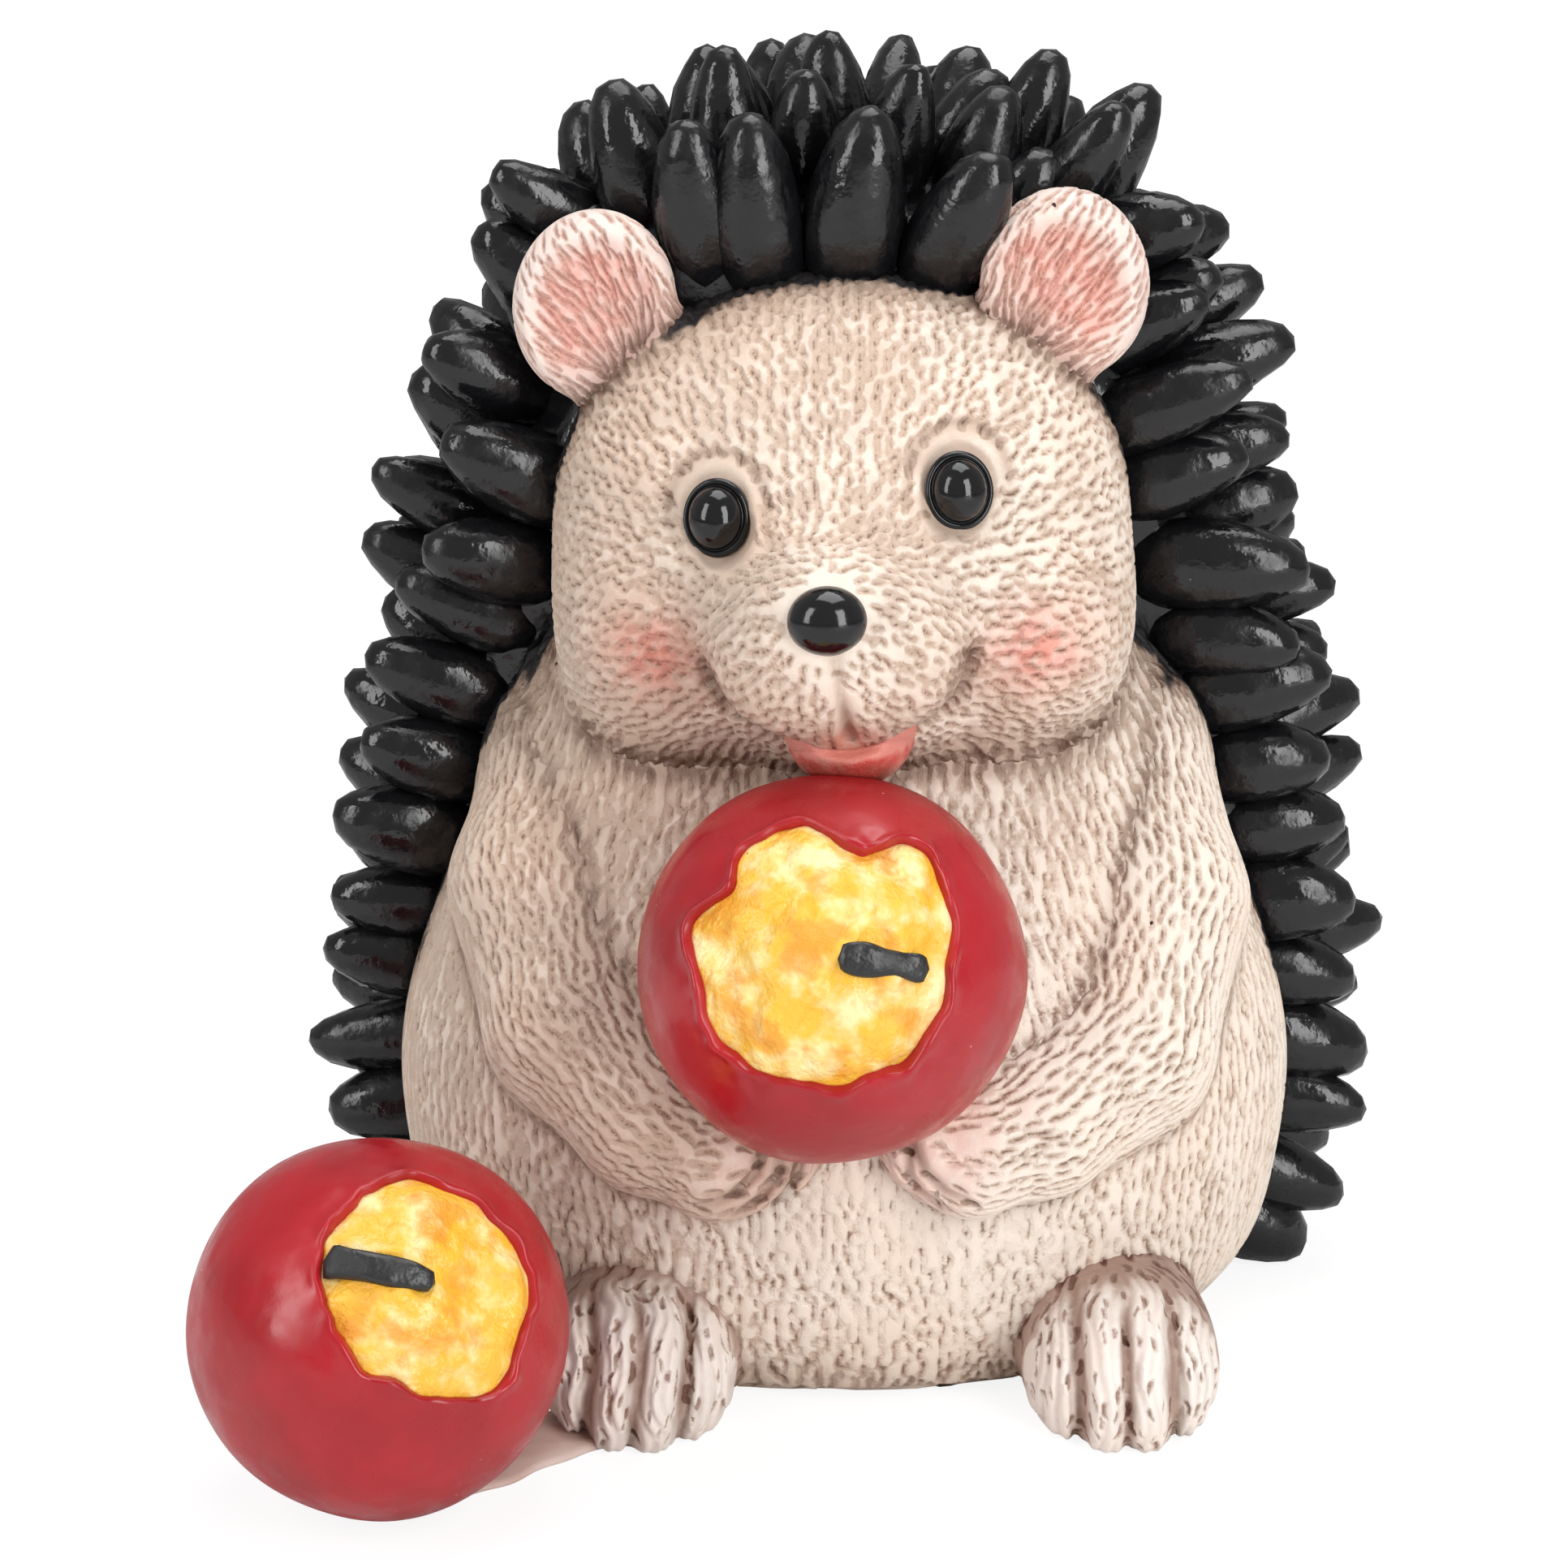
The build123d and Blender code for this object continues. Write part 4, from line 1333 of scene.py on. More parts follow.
@dataclass
class Foot(CarvedPiece):
    """A round foot with lines between its four toes."""

    side: Side = Side.LEFT
    centre_side: float = 0.0
    lean: float = 0.0
    toe_pitch: float = 5.6
    streak_pitch: float = 1.55
    streak_depth: float = 0.18

    def distance(self, points: Array) -> Array:
        """Return distances to the round loaf of the foot."""
        loaf = egg(points, (self.centre_side, -41.0, 6.2), (12.0, 16.2, 11.6))
        heel = egg(points, (self.centre_side, -32.0, 6.0), (11.5, 16.0, 11.0))
        return soft_min(loaf, heel, 3.0)

    def toe_lines(self) -> list[tuple[tuple[float, float], ...]]:
        """Return the three lines between the toes, seen from the front."""
        lines = []
        for i in (-1, 0, 1):
            foot = self.centre_side + i * self.toe_pitch
            shift = 2 * self.lean
            lines.append(((foot - shift, 0.0), (foot, 6.5), (foot + shift, 13.0), (foot, 17.0)))
        return lines

    def detail(self, points: Array, joined: Array) -> Array:
        """Cut the lines between the toes."""
        front = ramp(points[:, 1], -40.0, -46.0)
        cuts = carved_lines(points, self.toe_lines(), 1.15, (1.5, 2.3, 1.8, 0.5))
        return joined + front * (cuts + self.streak_depth * self.streaks(points))

    def streaks(self, points: Array) -> Array:
        """Return the fine upright grooves of the toes, from -1 to 1."""
        return np.sin(2 * math.pi * (points[:, 0] + 0.9 * ripple(points, 6.0, 71)) / self.streak_pitch)

    def flow(self, points: Array) -> Array:
        """Return a flow that runs forwards and down."""
        return np.tile([0.0, -0.5, -1.0], (len(points), 1))

    def masks(self, points: Array) -> dict[Mask, Array]:
        """Return the brown lines between the toes, the white front, and painted shade on the foot behind the
        front.
        """
        lines = carved_lines(points, self.toe_lines(), 0.85, (0.9, 1.0, 0.95, 0.5))
        front = ramp(points[:, 1], -36.0, -48.0)
        return {
            Mask.FUR: np.full(len(points), 0.5),
            # painted shade: the foot behind its front, under the belly, is darkened
            Mask.CREASE: np.clip(
                lines * front + 0.22 * front * ramp(self.streaks(points), 0.2, 0.9) + 0.8 * (1 - front), 0, 1
            ),
            Mask.BRUSH: 0.2 + 1.0 * front,
        }


@dataclass
class Mouth(CarvedPiece):
    """The open pink mouth under the muzzle."""

    place: HeadFrame = HeadFrame()

    def distance(self, points: Array) -> Array:
        """Return distances to the lower lip, hollowed on top."""
        local = self.place.local(points)
        lip = egg(local, (1.3, 36.4, -20.2), (7.4, 9.2, 5.9))
        hollow = egg(local, (1.6, 46.0, -17.4), (5.4, 5.0, 3.0))
        return soft_max(lip, -hollow, 1.2)

    def masks(self, points: Array) -> dict[Mask, Array]:
        """Return the red touch where the apple meets the lip."""
        rise = self.place.local(points)[:, 2]
        return {
            Mask.FUR: np.zeros(len(points)),
            Mask.CREASE: np.zeros(len(points)),
            Mask.BLUSH: ramp(rise + 0.5 * ripple(points, 1.5, 81), -20.6, -21.4),
            Mask.BRUSH: np.full(len(points), 0.5),
        }


@dataclass
class Animal:
    """All the carved forms together, and how they share one surface."""

    pieces: list[CarvedPiece]
    coat: CoatPlane
    apples: tuple["Apple", ...]
    cut_behind: float = 6.0
    overlap: float = 3.0
    dive: float = 0.7
    seat: float = 0.7
    rounding: float = 0.8
    crease_reach: float = 0.6
    # how dark folds are painted: brown wash and painted shade
    crease_strength: float = 0.65
    crease_bareness: float = 1.1
    apple_shade: float = 0.9
    coat_shade: float = 0.65
    strokes_per_area: float = 5e6

    def joined(self, points: Array, piece: CarvedPiece) -> tuple[Array, Array, Array]:
        """Work out the joined surface and one piece's share of it.

        Args:
            points: places in millimetres.
            piece: the piece.

        Returns:
            Distances to the joined surface, how far each place lies outside the piece's share, and how deep
            each place lies in a fold between forms, which sets the brown wash and painted shade there.
        """
        near = [other for other in self.pieces if other is piece or self.meets(other, piece)]
        fields = [other.distance(points) for other in near]
        total, least = fields[0], fields[0]
        for other, values in zip(near[1:], fields[1:]):
            total = soft_min(total, values, other.blend)
            least = np.minimum(least, values)
        # the fillet's depth below the nearest form: how deep a place lies in a fold, later darkened as brown
        # wash and painted shade
        crease = np.clip((least - total) / self.crease_reach, 0, 1)
        own = fields[near.index(piece)]
        others = [values for other, values in zip(near, fields) if other is not piece]
        share = own - np.minimum.reduce(others)
        total = piece.detail(points, total)
        for apple in self.apples:
            total = soft_max(total, -self.seat - apple.gap(points), self.rounding)
        total = soft_max(total, -points[:, 2], self.rounding)
        return np.maximum(total, self.coat.behind(points) - self.cut_behind), share, crease

    @staticmethod
    def meets(first: CarvedPiece, second: CarvedPiece) -> bool:
        """Return whether the boxes of two pieces come near each other."""
        return all(
            first.low[i] < second.high[i] + 6 and second.low[i] < first.high[i] + 6 for i in range(3)
        )

    def mesh(self, piece: CarvedPiece) -> tuple[Array, Array, Array]:
        """Mesh one piece's share of the joined surface.

        Args:
            piece: the piece.

        Returns:
            Vertices, faces and the outward directions at the vertices.
        """

        def outline(points: Array) -> Array:
            total, share, _ = self.joined(points, piece)
            return np.maximum(total + self.dive * np.maximum(share, 0.0), share - self.overlap)

        vertices, faces = surface_net(outline, np.asarray(piece.low), np.asarray(piece.high), piece.cell)
        vertices, _ = settled(outline, vertices, 2)
        for _ in range(piece.halvings):
            vertices, faces = quartered(vertices, faces)
        vertices, normals = settled(outline, vertices, 3)
        return vertices, faces, normals

    def painted(self, piece: CarvedPiece, vertices: Array) -> dict[Mask, Array]:
        """Work out one piece's masks.

        Args:
            piece: the piece.
            vertices: its places in millimetres.

        Returns:
            For each mask its value at each place.
        """
        _, share, crease = self.joined(vertices, piece)
        behind = self.coat.behind(vertices)
        masks = {mask: np.zeros(len(vertices)) for mask in Mask}
        masks[Mask.FUR] += 1.0
        masks[Mask.BRUSH] += 0.5
        masks.update(piece.masks(vertices))
        # painted shade: darker where the fur meets the apples
        for apple in self.apples:
            crease = np.maximum(crease, self.apple_shade * ramp(apple.gap(vertices), 2.6, 0.4))
        # painted shade: darker below the edge of the quill coat
        near_coat = self.coat_shade * piece.sooted_and_shaded * ramp(behind, -12.0, -2.0)
        masks[Mask.CREASE] = np.clip(masks[Mask.CREASE] + self.crease_strength * crease + near_coat, 0, 1)
        masks[Mask.BRUSH] = masks[Mask.BRUSH] - self.crease_bareness * masks[Mask.CREASE]
        hidden = np.maximum(ramp(share, 0.3, 1.5), ramp(behind, 2.0, 4.0))
        hidden = np.maximum(hidden, ramp(vertices[:, 2], 0.8, 0.2))
        masks[Mask.FUR] = masks[Mask.FUR] * (1.0 - hidden)
        masks[Mask.SOOT] = piece.sooted_and_shaded * ramp(behind + 1.8 * ripple(vertices, 3.0, 7), -9.0, -1.5)
        return masks

    def build(self, piece: CarvedPiece, tree: bpy.types.NodeTree, kit: ShaderKit) -> bpy.types.Object:
        """Mesh one piece, paint its masks, carve its fur and dress it."""
        vertices, faces, normals = self.mesh(piece)
        flow = piece.flow(vertices)
        flow = flow - normals * np.sum(flow * normals, axis=1)[:, None]
        flow /= np.maximum(np.linalg.norm(flow, axis=1), 1e-6)[:, None]
        values = {mask.value: value for mask, value in self.painted(piece, vertices).items()}
        result = make_object(f"{piece.node}_{piece.ending}", vertices, faces, values={**values, "flow": flow})
        apply_tree(result, tree, {
            "Spacing": piece.spacing * MILLIMETRE, "Density": self.strokes_per_area / piece.spacing**2,
            "Stroke Length": piece.stroke * MILLIMETRE, "Half Width": piece.half_width * MILLIMETRE,
            "End Lift": 0.7 * piece.half_width * MILLIMETRE, "Depth": piece.depth * MILLIMETRE,
            "Seed": piece.seed, "Material": piece.finish.material(kit),
        })
        return result


# Beads, apples and quills


@dataclass(frozen=True)
class Bead:
    """A glossy bead set in the face, turned from a profile."""

    node: str
    centre: tuple[float, float, float]
    facing: tuple[float, float, float]
    profile: tuple[tuple[float, float], ...]
    stretch: tuple[float, float] = (1.0, 1.0)
    turns: int = 48

    def build(self, place: HeadFrame, material: bpy.types.Material) -> bpy.types.Object:
        """Turn the bead and set it in the face."""
        vertices, faces = turned_profile(self.profile, self.turns)
        vertices[:, :2] *= self.stretch
        axes = facing_axes(self.facing) @ place.axes()
        return make_object(self.node + "_bead", place.place(*self.centre) + vertices @ axes, faces, material)


@dataclass(frozen=True)
class Apple:
    """A red apple with a ragged cut patch of flesh and one seed."""

    node: str
    centre: tuple[float, float, float]
    radius: float
    pitch: float
    yaw: float
    patch_radius: float
    outline: tuple[float, ...]
    seed_length: float
    seed_place: tuple[float, float]
    seed_turn: float
    flat: bool
    seed: int
    skin_turns: int = 240
    flesh_turns: int = 200
    pocket_depth: float = 2.6
    lip: tuple[tuple[float, float], ...] = (
        (0.0, -1.6), (0.02, -0.5), (0.12, 0.08), (0.3, 0.3), (0.6, 0.34), (1.0, 0.2), (1.6, 0.06), (2.4, 0.0),
    )
    seed_width: float = 3.3
    seed_thickness: float = 1.9

    def gap(self, points: Array) -> Array:
        """Return how far each place lies outside the apple."""
        return np.linalg.norm(points - np.asarray(self.centre), axis=1) - self.radius

    def axes(self) -> Array:
        """Return across, up and outward directions of the patch as rows."""
        yaw = Matrix.Rotation(math.radians(self.yaw), 3, "Z")
        outward = yaw @ Matrix.Rotation(-math.radians(self.pitch), 3, "X") @ Vector((0, -1, 0))
        across = yaw @ Vector((1, 0, 0))
        return np.array([across, outward.cross(across), outward])

    def edge(self, angles: Array) -> Array:
        """Return the patch's edge as an angle from its axis, for each angle round it."""
        count = len(self.outline)
        places = 2 * math.pi * np.arange(-3, count + 4) / count
        shares = [self.outline[i % count] for i in range(-3, count + 4)]
        smooth = smooth_through(places, shares, angles % (2 * math.pi))
        circle = np.stack([np.cos(angles), np.sin(angles), np.zeros_like(angles)], axis=1) * 10
        ragged = 0.008 * ripple(circle, 1.3, self.seed) + 0.018 * ripple(circle, 3.1, self.seed + 1)
        return np.arcsin(np.clip(self.patch_radius * (smooth + ragged) / self.radius, 0, 0.98))

    def polar_mesh(self, rows: list[tuple[Array, Array]]) -> tuple[Array, list[list[int]]]:
        """Make a closed mesh from rings.

        Args:
            rows: for each ring the angles from the axis and the radii, from pole to pole.

        Returns:
            Vertices in millimetres and faces.
        """
        angles = around(len(rows[0][0]))
        rings = [
            np.stack([r * np.sin(a) * np.cos(angles), r * np.sin(a) * np.sin(angles), r * np.cos(a)], axis=1)
            for a, r in rows
        ]
        local, faces = closed_rings(rings, rings[0].mean(axis=0), rings[-1].mean(axis=0))
        vertices = np.asarray(self.centre) + local @ self.axes()
        if self.flat:
            vertices[:, 2] = np.maximum(vertices[:, 2], 0.0)
        return vertices, faces

    def lump(self, ring: Array, size: float, seed: int) -> Array:
        """Return an irregular height round one ring of the apple."""
        angles = around(len(ring))
        place = self.radius * np.stack(
            [np.sin(ring) * np.cos(angles), np.sin(ring) * np.sin(angles), np.cos(ring)], axis=1
        )
        return ripple(place, size, self.seed + seed)

    def build_skin(self, material: bpy.types.Material) -> bpy.types.Object:
        """Make the red skin, with a pocket for the flesh and a raised lip round it."""
        level = np.full(self.skin_turns, self.radius)
        edge = self.edge(around(self.skin_turns))
        rows = [(edge * share, level - self.pocket_depth) for share in (0.08, 0.3, 0.6, 0.85, 0.97)]
        end = self.lip[-1][0]
        for reach, height in self.lip:
            ring = edge + reach / self.radius
            rough = 0.14 * self.lump(ring, 1.8, 3) * (0.0 < reach < end)
            uneven = 1.0 + 0.7 * self.lump(edge, 5.0, 4) * (height > 0)
            rows.append((ring, self.radius + height * uneven + rough))
        start = edge + end / self.radius
        for share in np.linspace(0.0, 1.0, 44)[1:-1]:
            rows.append((start + (math.pi - start) * share, level))
        rows = [(ring, radii + 0.22 * self.lump(ring, 13.0, 5) - 0.1) for ring, radii in rows]
        return make_object(self.node + "_skin", *self.polar_mesh(rows), material)

    def build_flesh(self, material: bpy.types.Material) -> bpy.types.Object:
        """Make the lumpy flesh that fills the patch."""
        edge = self.edge(around(self.flesh_turns))
        rows = []
        for share in np.linspace(0.0, 1.0, 40)[1:]:
            ring = edge * share * 1.01
            lumps = 0.6 * self.lump(ring, 4.2, 8) + 0.25 * self.lump(ring, 1.9, 9)
            fade = 1.0 - 0.6 * share**6
            rows.append((ring, self.radius - 0.55 + lumps * fade - 0.25 * share**8))
        for share in (1.0, 0.7, 0.3, 0.08):
            rows.append((edge * share, np.full(self.flesh_turns, self.radius - 2.4)))
        return make_object(self.node + "_flesh_lumps", *self.polar_mesh(rows), material)

    def build_seed(self, material: bpy.types.Material) -> bpy.types.Object:
        """Make the blunt bar of the seed, bent over the flesh."""
        steps, sides = 22, 14
        rings = []
        for i in range(steps + 1):
            share = 2 * i / steps - 1
            blunt = (1 - abs(share) ** 14) ** 0.5 if abs(share) < 1 else 0.02
            taper = 1.0 - 0.16 * share + 0.1 * math.sin(5 * share + self.seed)
            for angle in around(sides):
                c, s = math.cos(angle), math.sin(angle)
                y = math.copysign(abs(c) ** 0.5, c) * self.seed_width / 2 * taper * blunt
                z = math.copysign(abs(s) ** 0.5, s) * self.seed_thickness / 2 * blunt
                rings.append((share * self.seed_length / 2, y, z))
        flat = np.array(rings)
        flat += 0.09 * ripple(flat, 1.6, self.seed + 20)[:, None] * np.array([0.4, 1.0, 1.0])
        turn = math.radians(self.seed_turn)
        aside, above = np.array(self.seed_place) * self.patch_radius
        across = flat[:, 0] * math.cos(turn) - flat[:, 1] * math.sin(turn) + aside
        up = flat[:, 0] * math.sin(turn) + flat[:, 1] * math.cos(turn) + above
        out = np.sqrt(self.radius**2 - across**2 - up**2) - 0.2 + flat[:, 2]
        bar = np.asarray(self.centre) + np.stack([across, up, out], axis=1) @ self.axes()
        rings = bar.reshape(steps + 1, sides, 3)
        vertices, faces = closed_rings(rings, rings[0].mean(axis=0), rings[-1].mean(axis=0))
        return make_object(self.node + "_seed_bar", vertices, faces, material)


@dataclass(frozen=True)
class Coat:
    """The black mantle and its rows of fat quills."""

    plane: CoatPlane
    ears: tuple[Ear, ...] = ()
    half_width: float = 58.0
    height: float = 146.0
    depth_share: float = 0.68
    back_offset: float = 3.0
    levels: tuple[float, ...] = (0.0, 0.1, 0.25, 0.4, 0.52, 0.64, 0.75, 0.84, 0.915, 0.972, 1.0)
    widths: tuple[float, ...] = (0.84, 0.91, 0.955, 0.925, 0.87, 0.8, 0.74, 0.66, 0.58, 0.45, 0.2)
    plate: float = 6.0
    arches: int = 8
    arch_level: float = 0.4
    pitch: float = 9.7
    length: float = 20.0
    girth: float = 4.9
    sink: float = 5.2
    rise_share: float = 0.22
    front_sinks: tuple[float, float] = (6.0, 7.0)
    front_lengths: tuple[float, float] = (19.0, 5.5)
    front_tilt: float = 0.14
    front_girth: float = 1.12
    disorder: float = 0.1
    floor_gap: float = 0.3
    sides: int = 12
    rings: int = 9
    unevenness: float = 0.6

    def half_widths(self, heights: Array) -> Array:
        """Return the dome's half width at each height."""
        return self.half_width * smooth_through(self.levels, self.widths, heights / self.height)

    def mantle_distance(self, points: Array) -> Array:
        """Return distances to the mantle under the quills."""
        inset = 1.0
        dome = Loft(
            tuple(level * (self.height - inset) for level in self.levels),
            tuple(share * (self.half_width - inset) for share in self.widths),
            tuple(share * (self.half_width * self.depth_share - inset) for share in self.widths),
            tuple(0.0 for _ in self.levels),
        ).distance(points[:, 0], points[:, 2], points[:, 1] - self.back_offset)
        return soft_max(np.maximum(dome, -points[:, 2]), -self.plane.behind(points), 1.5)

    def build_mantle(self, material: bpy.types.Material) -> bpy.types.Object:
        """Mesh the mantle, a little lumpy."""

        def lumpy(points: Array) -> Array:
            return self.mantle_distance(points) + 0.35 * ripple(points, 4.0, 31)

        low, high = np.array([-62.0, -20.0, -2.0]), np.array([62.0, 48.0, 150.0])
        vertices, faces = surface_net(lumpy, low, high, 2.0)
        vertices, _ = settled(lumpy, vertices, 2)
        vertices[:, 2] = np.maximum(vertices[:, 2], 0.05)
        return make_object("quill_mantle", vertices, faces, material)

    def arch(self, station: float) -> tuple[Array, Array, Array]:
        """Return places, normals and running lengths down the left half of one arch."""
        heights = np.linspace(self.height * 0.999, 0.5, 700)
        half = self.half_widths(heights)
        slope = np.gradient(half, heights)
        lean = math.radians(self.plane.lean)
        front = self.plane.front_at_base - heights * math.tan(lean)
        back = (front + station / math.cos(lean)) - self.back_offset
        turn = back / (self.depth_share * half)
        inside = np.abs(turn) < 1
        heights, half, slope, back, turn = (v[inside] for v in (heights, half, slope, back, turn))
        side = half * np.sqrt(1 - turn**2)
        places = np.stack([side, self.back_offset + back, heights], axis=1)
        normals = np.stack([side, back / self.depth_share**2, -slope * half], axis=1)
        normals /= np.linalg.norm(normals, axis=1)[:, None]
        steps = np.linalg.norm(np.diff(places, axis=0), axis=1)
        return places, normals, places[0, 0] + np.concatenate([[0.0], np.cumsum(steps)])

    def stations(self) -> list[float]:
        """Return the stations of the arches, equally far apart along the coat's side."""
        height = self.arch_level * self.height
        half = float(self.half_widths(np.array([height]))[0])
        lean = math.radians(self.plane.lean)
        start = self.plane.front_at_base - height * math.tan(lean) - self.back_offset
        reach = self.depth_share * half - start
        back = start + reach * np.linspace(0, 1, 401)
        side = half * np.sqrt(np.maximum(0, 1 - (back / (self.depth_share * half)) ** 2))
        lengths = np.concatenate([[0.0], np.cumsum(np.hypot(np.diff(back), np.diff(side)))])
        places = (back - start) * math.cos(lean)
        first = float(np.interp(self.plate, places, lengths))
        pitch = (lengths[-1] - first) / self.arches
        return [float(np.interp(first + (k + 0.5) * pitch, lengths, places)) for k in range(self.arches)]

    def roots(self, station: float, start: float) -> list[tuple[Array, Array]]:
        """Return evenly pitched places and normals on one arch, on both sides."""
        places, normals, lengths = self.arch(station)
        found = []
        wanted = start
        while wanted < lengths[-1]:
            index = int(np.searchsorted(lengths, wanted))
            place, normal = places[index], normals[index]
            if place[2] > self.girth + 0.6:
                flip = np.array([-1.0, 1.0, 1.0])
                if start == 0 and wanted == 0:
                    found.append((place * [0, 1, 1], normal * [0, 1, 1]))
                else:
                    found += [(place, normal), (place * flip, normal * flip)]
            wanted += self.pitch
        return found

    def clearance(self, root: Array, direction: Array, length: float) -> float:
        """Return how far a quill moves back to stand clear of the ears."""
        path = root + direction * np.linspace(0.0, length, 12)[:, None]
        most = 0.0
        for ear in self.ears:
            across, up, forward = ear.local(path).T
            near = np.hypot(across, up) < ear.radius + 3.0
            if near.any():
                most = max(most, float(forward[near].max()) + self.girth - 1.0)
        return most

    def build_row(self, number: int, tree: bpy.types.NodeTree, material: bpy.types.Material
                  ) -> bpy.types.Object:
        """Stand the quills of one row.

        Args:
            number: the row, from 1 at the front.
            tree: the geometry tree that makes the quills.
            material: their finish.

        Returns:
            The row as one plain mesh.
        """
        rng = np.random.default_rng(500 + number)
        roots, directions, sizes, across = [], [], [], []
        station = self.plate / 2 if number == 1 else self.stations()[number - 2]
        start = 0.0 if number % 2 else self.pitch / 2
        lean = math.radians(self.plane.lean)
        forward = np.array([0.0, -math.cos(lean), -math.sin(lean)])
        for place, normal in self.roots(station, start):
            height = place[2]
            girth = self.girth * rng.uniform(0.88, 1.12)
            if number == 1:
                radial = normal - forward * (normal @ forward)
                radial /= np.linalg.norm(radial)
                share = (height / self.height) ** 2
                root = place - radial * (self.front_sinks[0] + self.front_sinks[1] * share)
                direction = radial + self.front_tilt * forward
                length = self.front_lengths[0] + self.front_lengths[1] * share
                girth *= self.front_girth
            else:
                root = place - normal * self.sink
                direction = normal + np.array([0, 0, self.rise_share])
                length = self.length
            direction = direction / np.linalg.norm(direction) + rng.normal(0, self.disorder, 3)
            direction /= np.linalg.norm(direction)
            length *= rng.uniform(0.88, 1.1)
            low = root[2] + min(0.0, direction[2] * length) - self.girth * 0.9
            if low < self.floor_gap:
                root = root + np.array([0, 0, self.floor_gap - low])
            roots.append(root - forward * self.clearance(root, direction, length))
            directions.append(direction)
            thin = girth * rng.uniform(0.82, 0.95)
            sizes.append((girth * MILLIMETRE, thin * MILLIMETRE, length * MILLIMETRE))
            across.append(np.cross(direction, forward) + rng.normal(0, 0.15, 3))
        points = make_object(
            f"quills_{number:02d}", np.array(roots), [],
            values={"direction": np.array(directions), "across": np.array(across), "size": np.array(sizes)},
        )
        apply_tree(points, tree, {
            "Sides": self.sides, "Rings": self.rings, "Unevenness": self.unevenness * MILLIMETRE,
            "Material": material,
        })
        return points


@dataclass(frozen=True)
class ResinWeb:
    """The thin flash of resin on the floor between the ground apple and the foot."""

    start: tuple[float, float] = (-52.0, -64.0)
    end: tuple[float, float] = (-27.0, -44.0)
    half_width: float = 6.6
    thickness: float = 0.9
    steps: int = 40
    edge: tuple[tuple[float, float], ...] = ((0.985, 0.0), (1.0, 0.18), (0.98, 0.5), (0.9, 0.9))

    def build(self, material: bpy.types.Material) -> bpy.types.Object:
        """Make the plate with a wavy thin edge."""
        start, end = np.asarray(self.start), np.asarray(self.end)
        run = (end - start) / np.linalg.norm(end - start)
        side = np.array([-run[1], run[0]])
        outline = []
        for sign in (1, -1):
            for i in range(self.steps + 1):
                share = i / self.steps if sign > 0 else 1 - i / self.steps
                wave = 0.5 * math.sin(9 * share + sign) + 0.25 * math.sin(23 * share)
                outline.append(start + (end - start) * share + side * sign * (self.half_width + wave - 0.8))
        outline = np.array(outline)
        centre = outline.mean(axis=0)
        rings = [
            np.column_stack([centre + (outline - centre) * shrink, np.full(len(outline), height)])
            for shrink, height in self.edge
        ]
        vertices, faces = closed_rings(rings, (*centre, 0.0), (*centre, self.thickness))
        return make_object("resin_web", vertices, faces, material)


# Studio


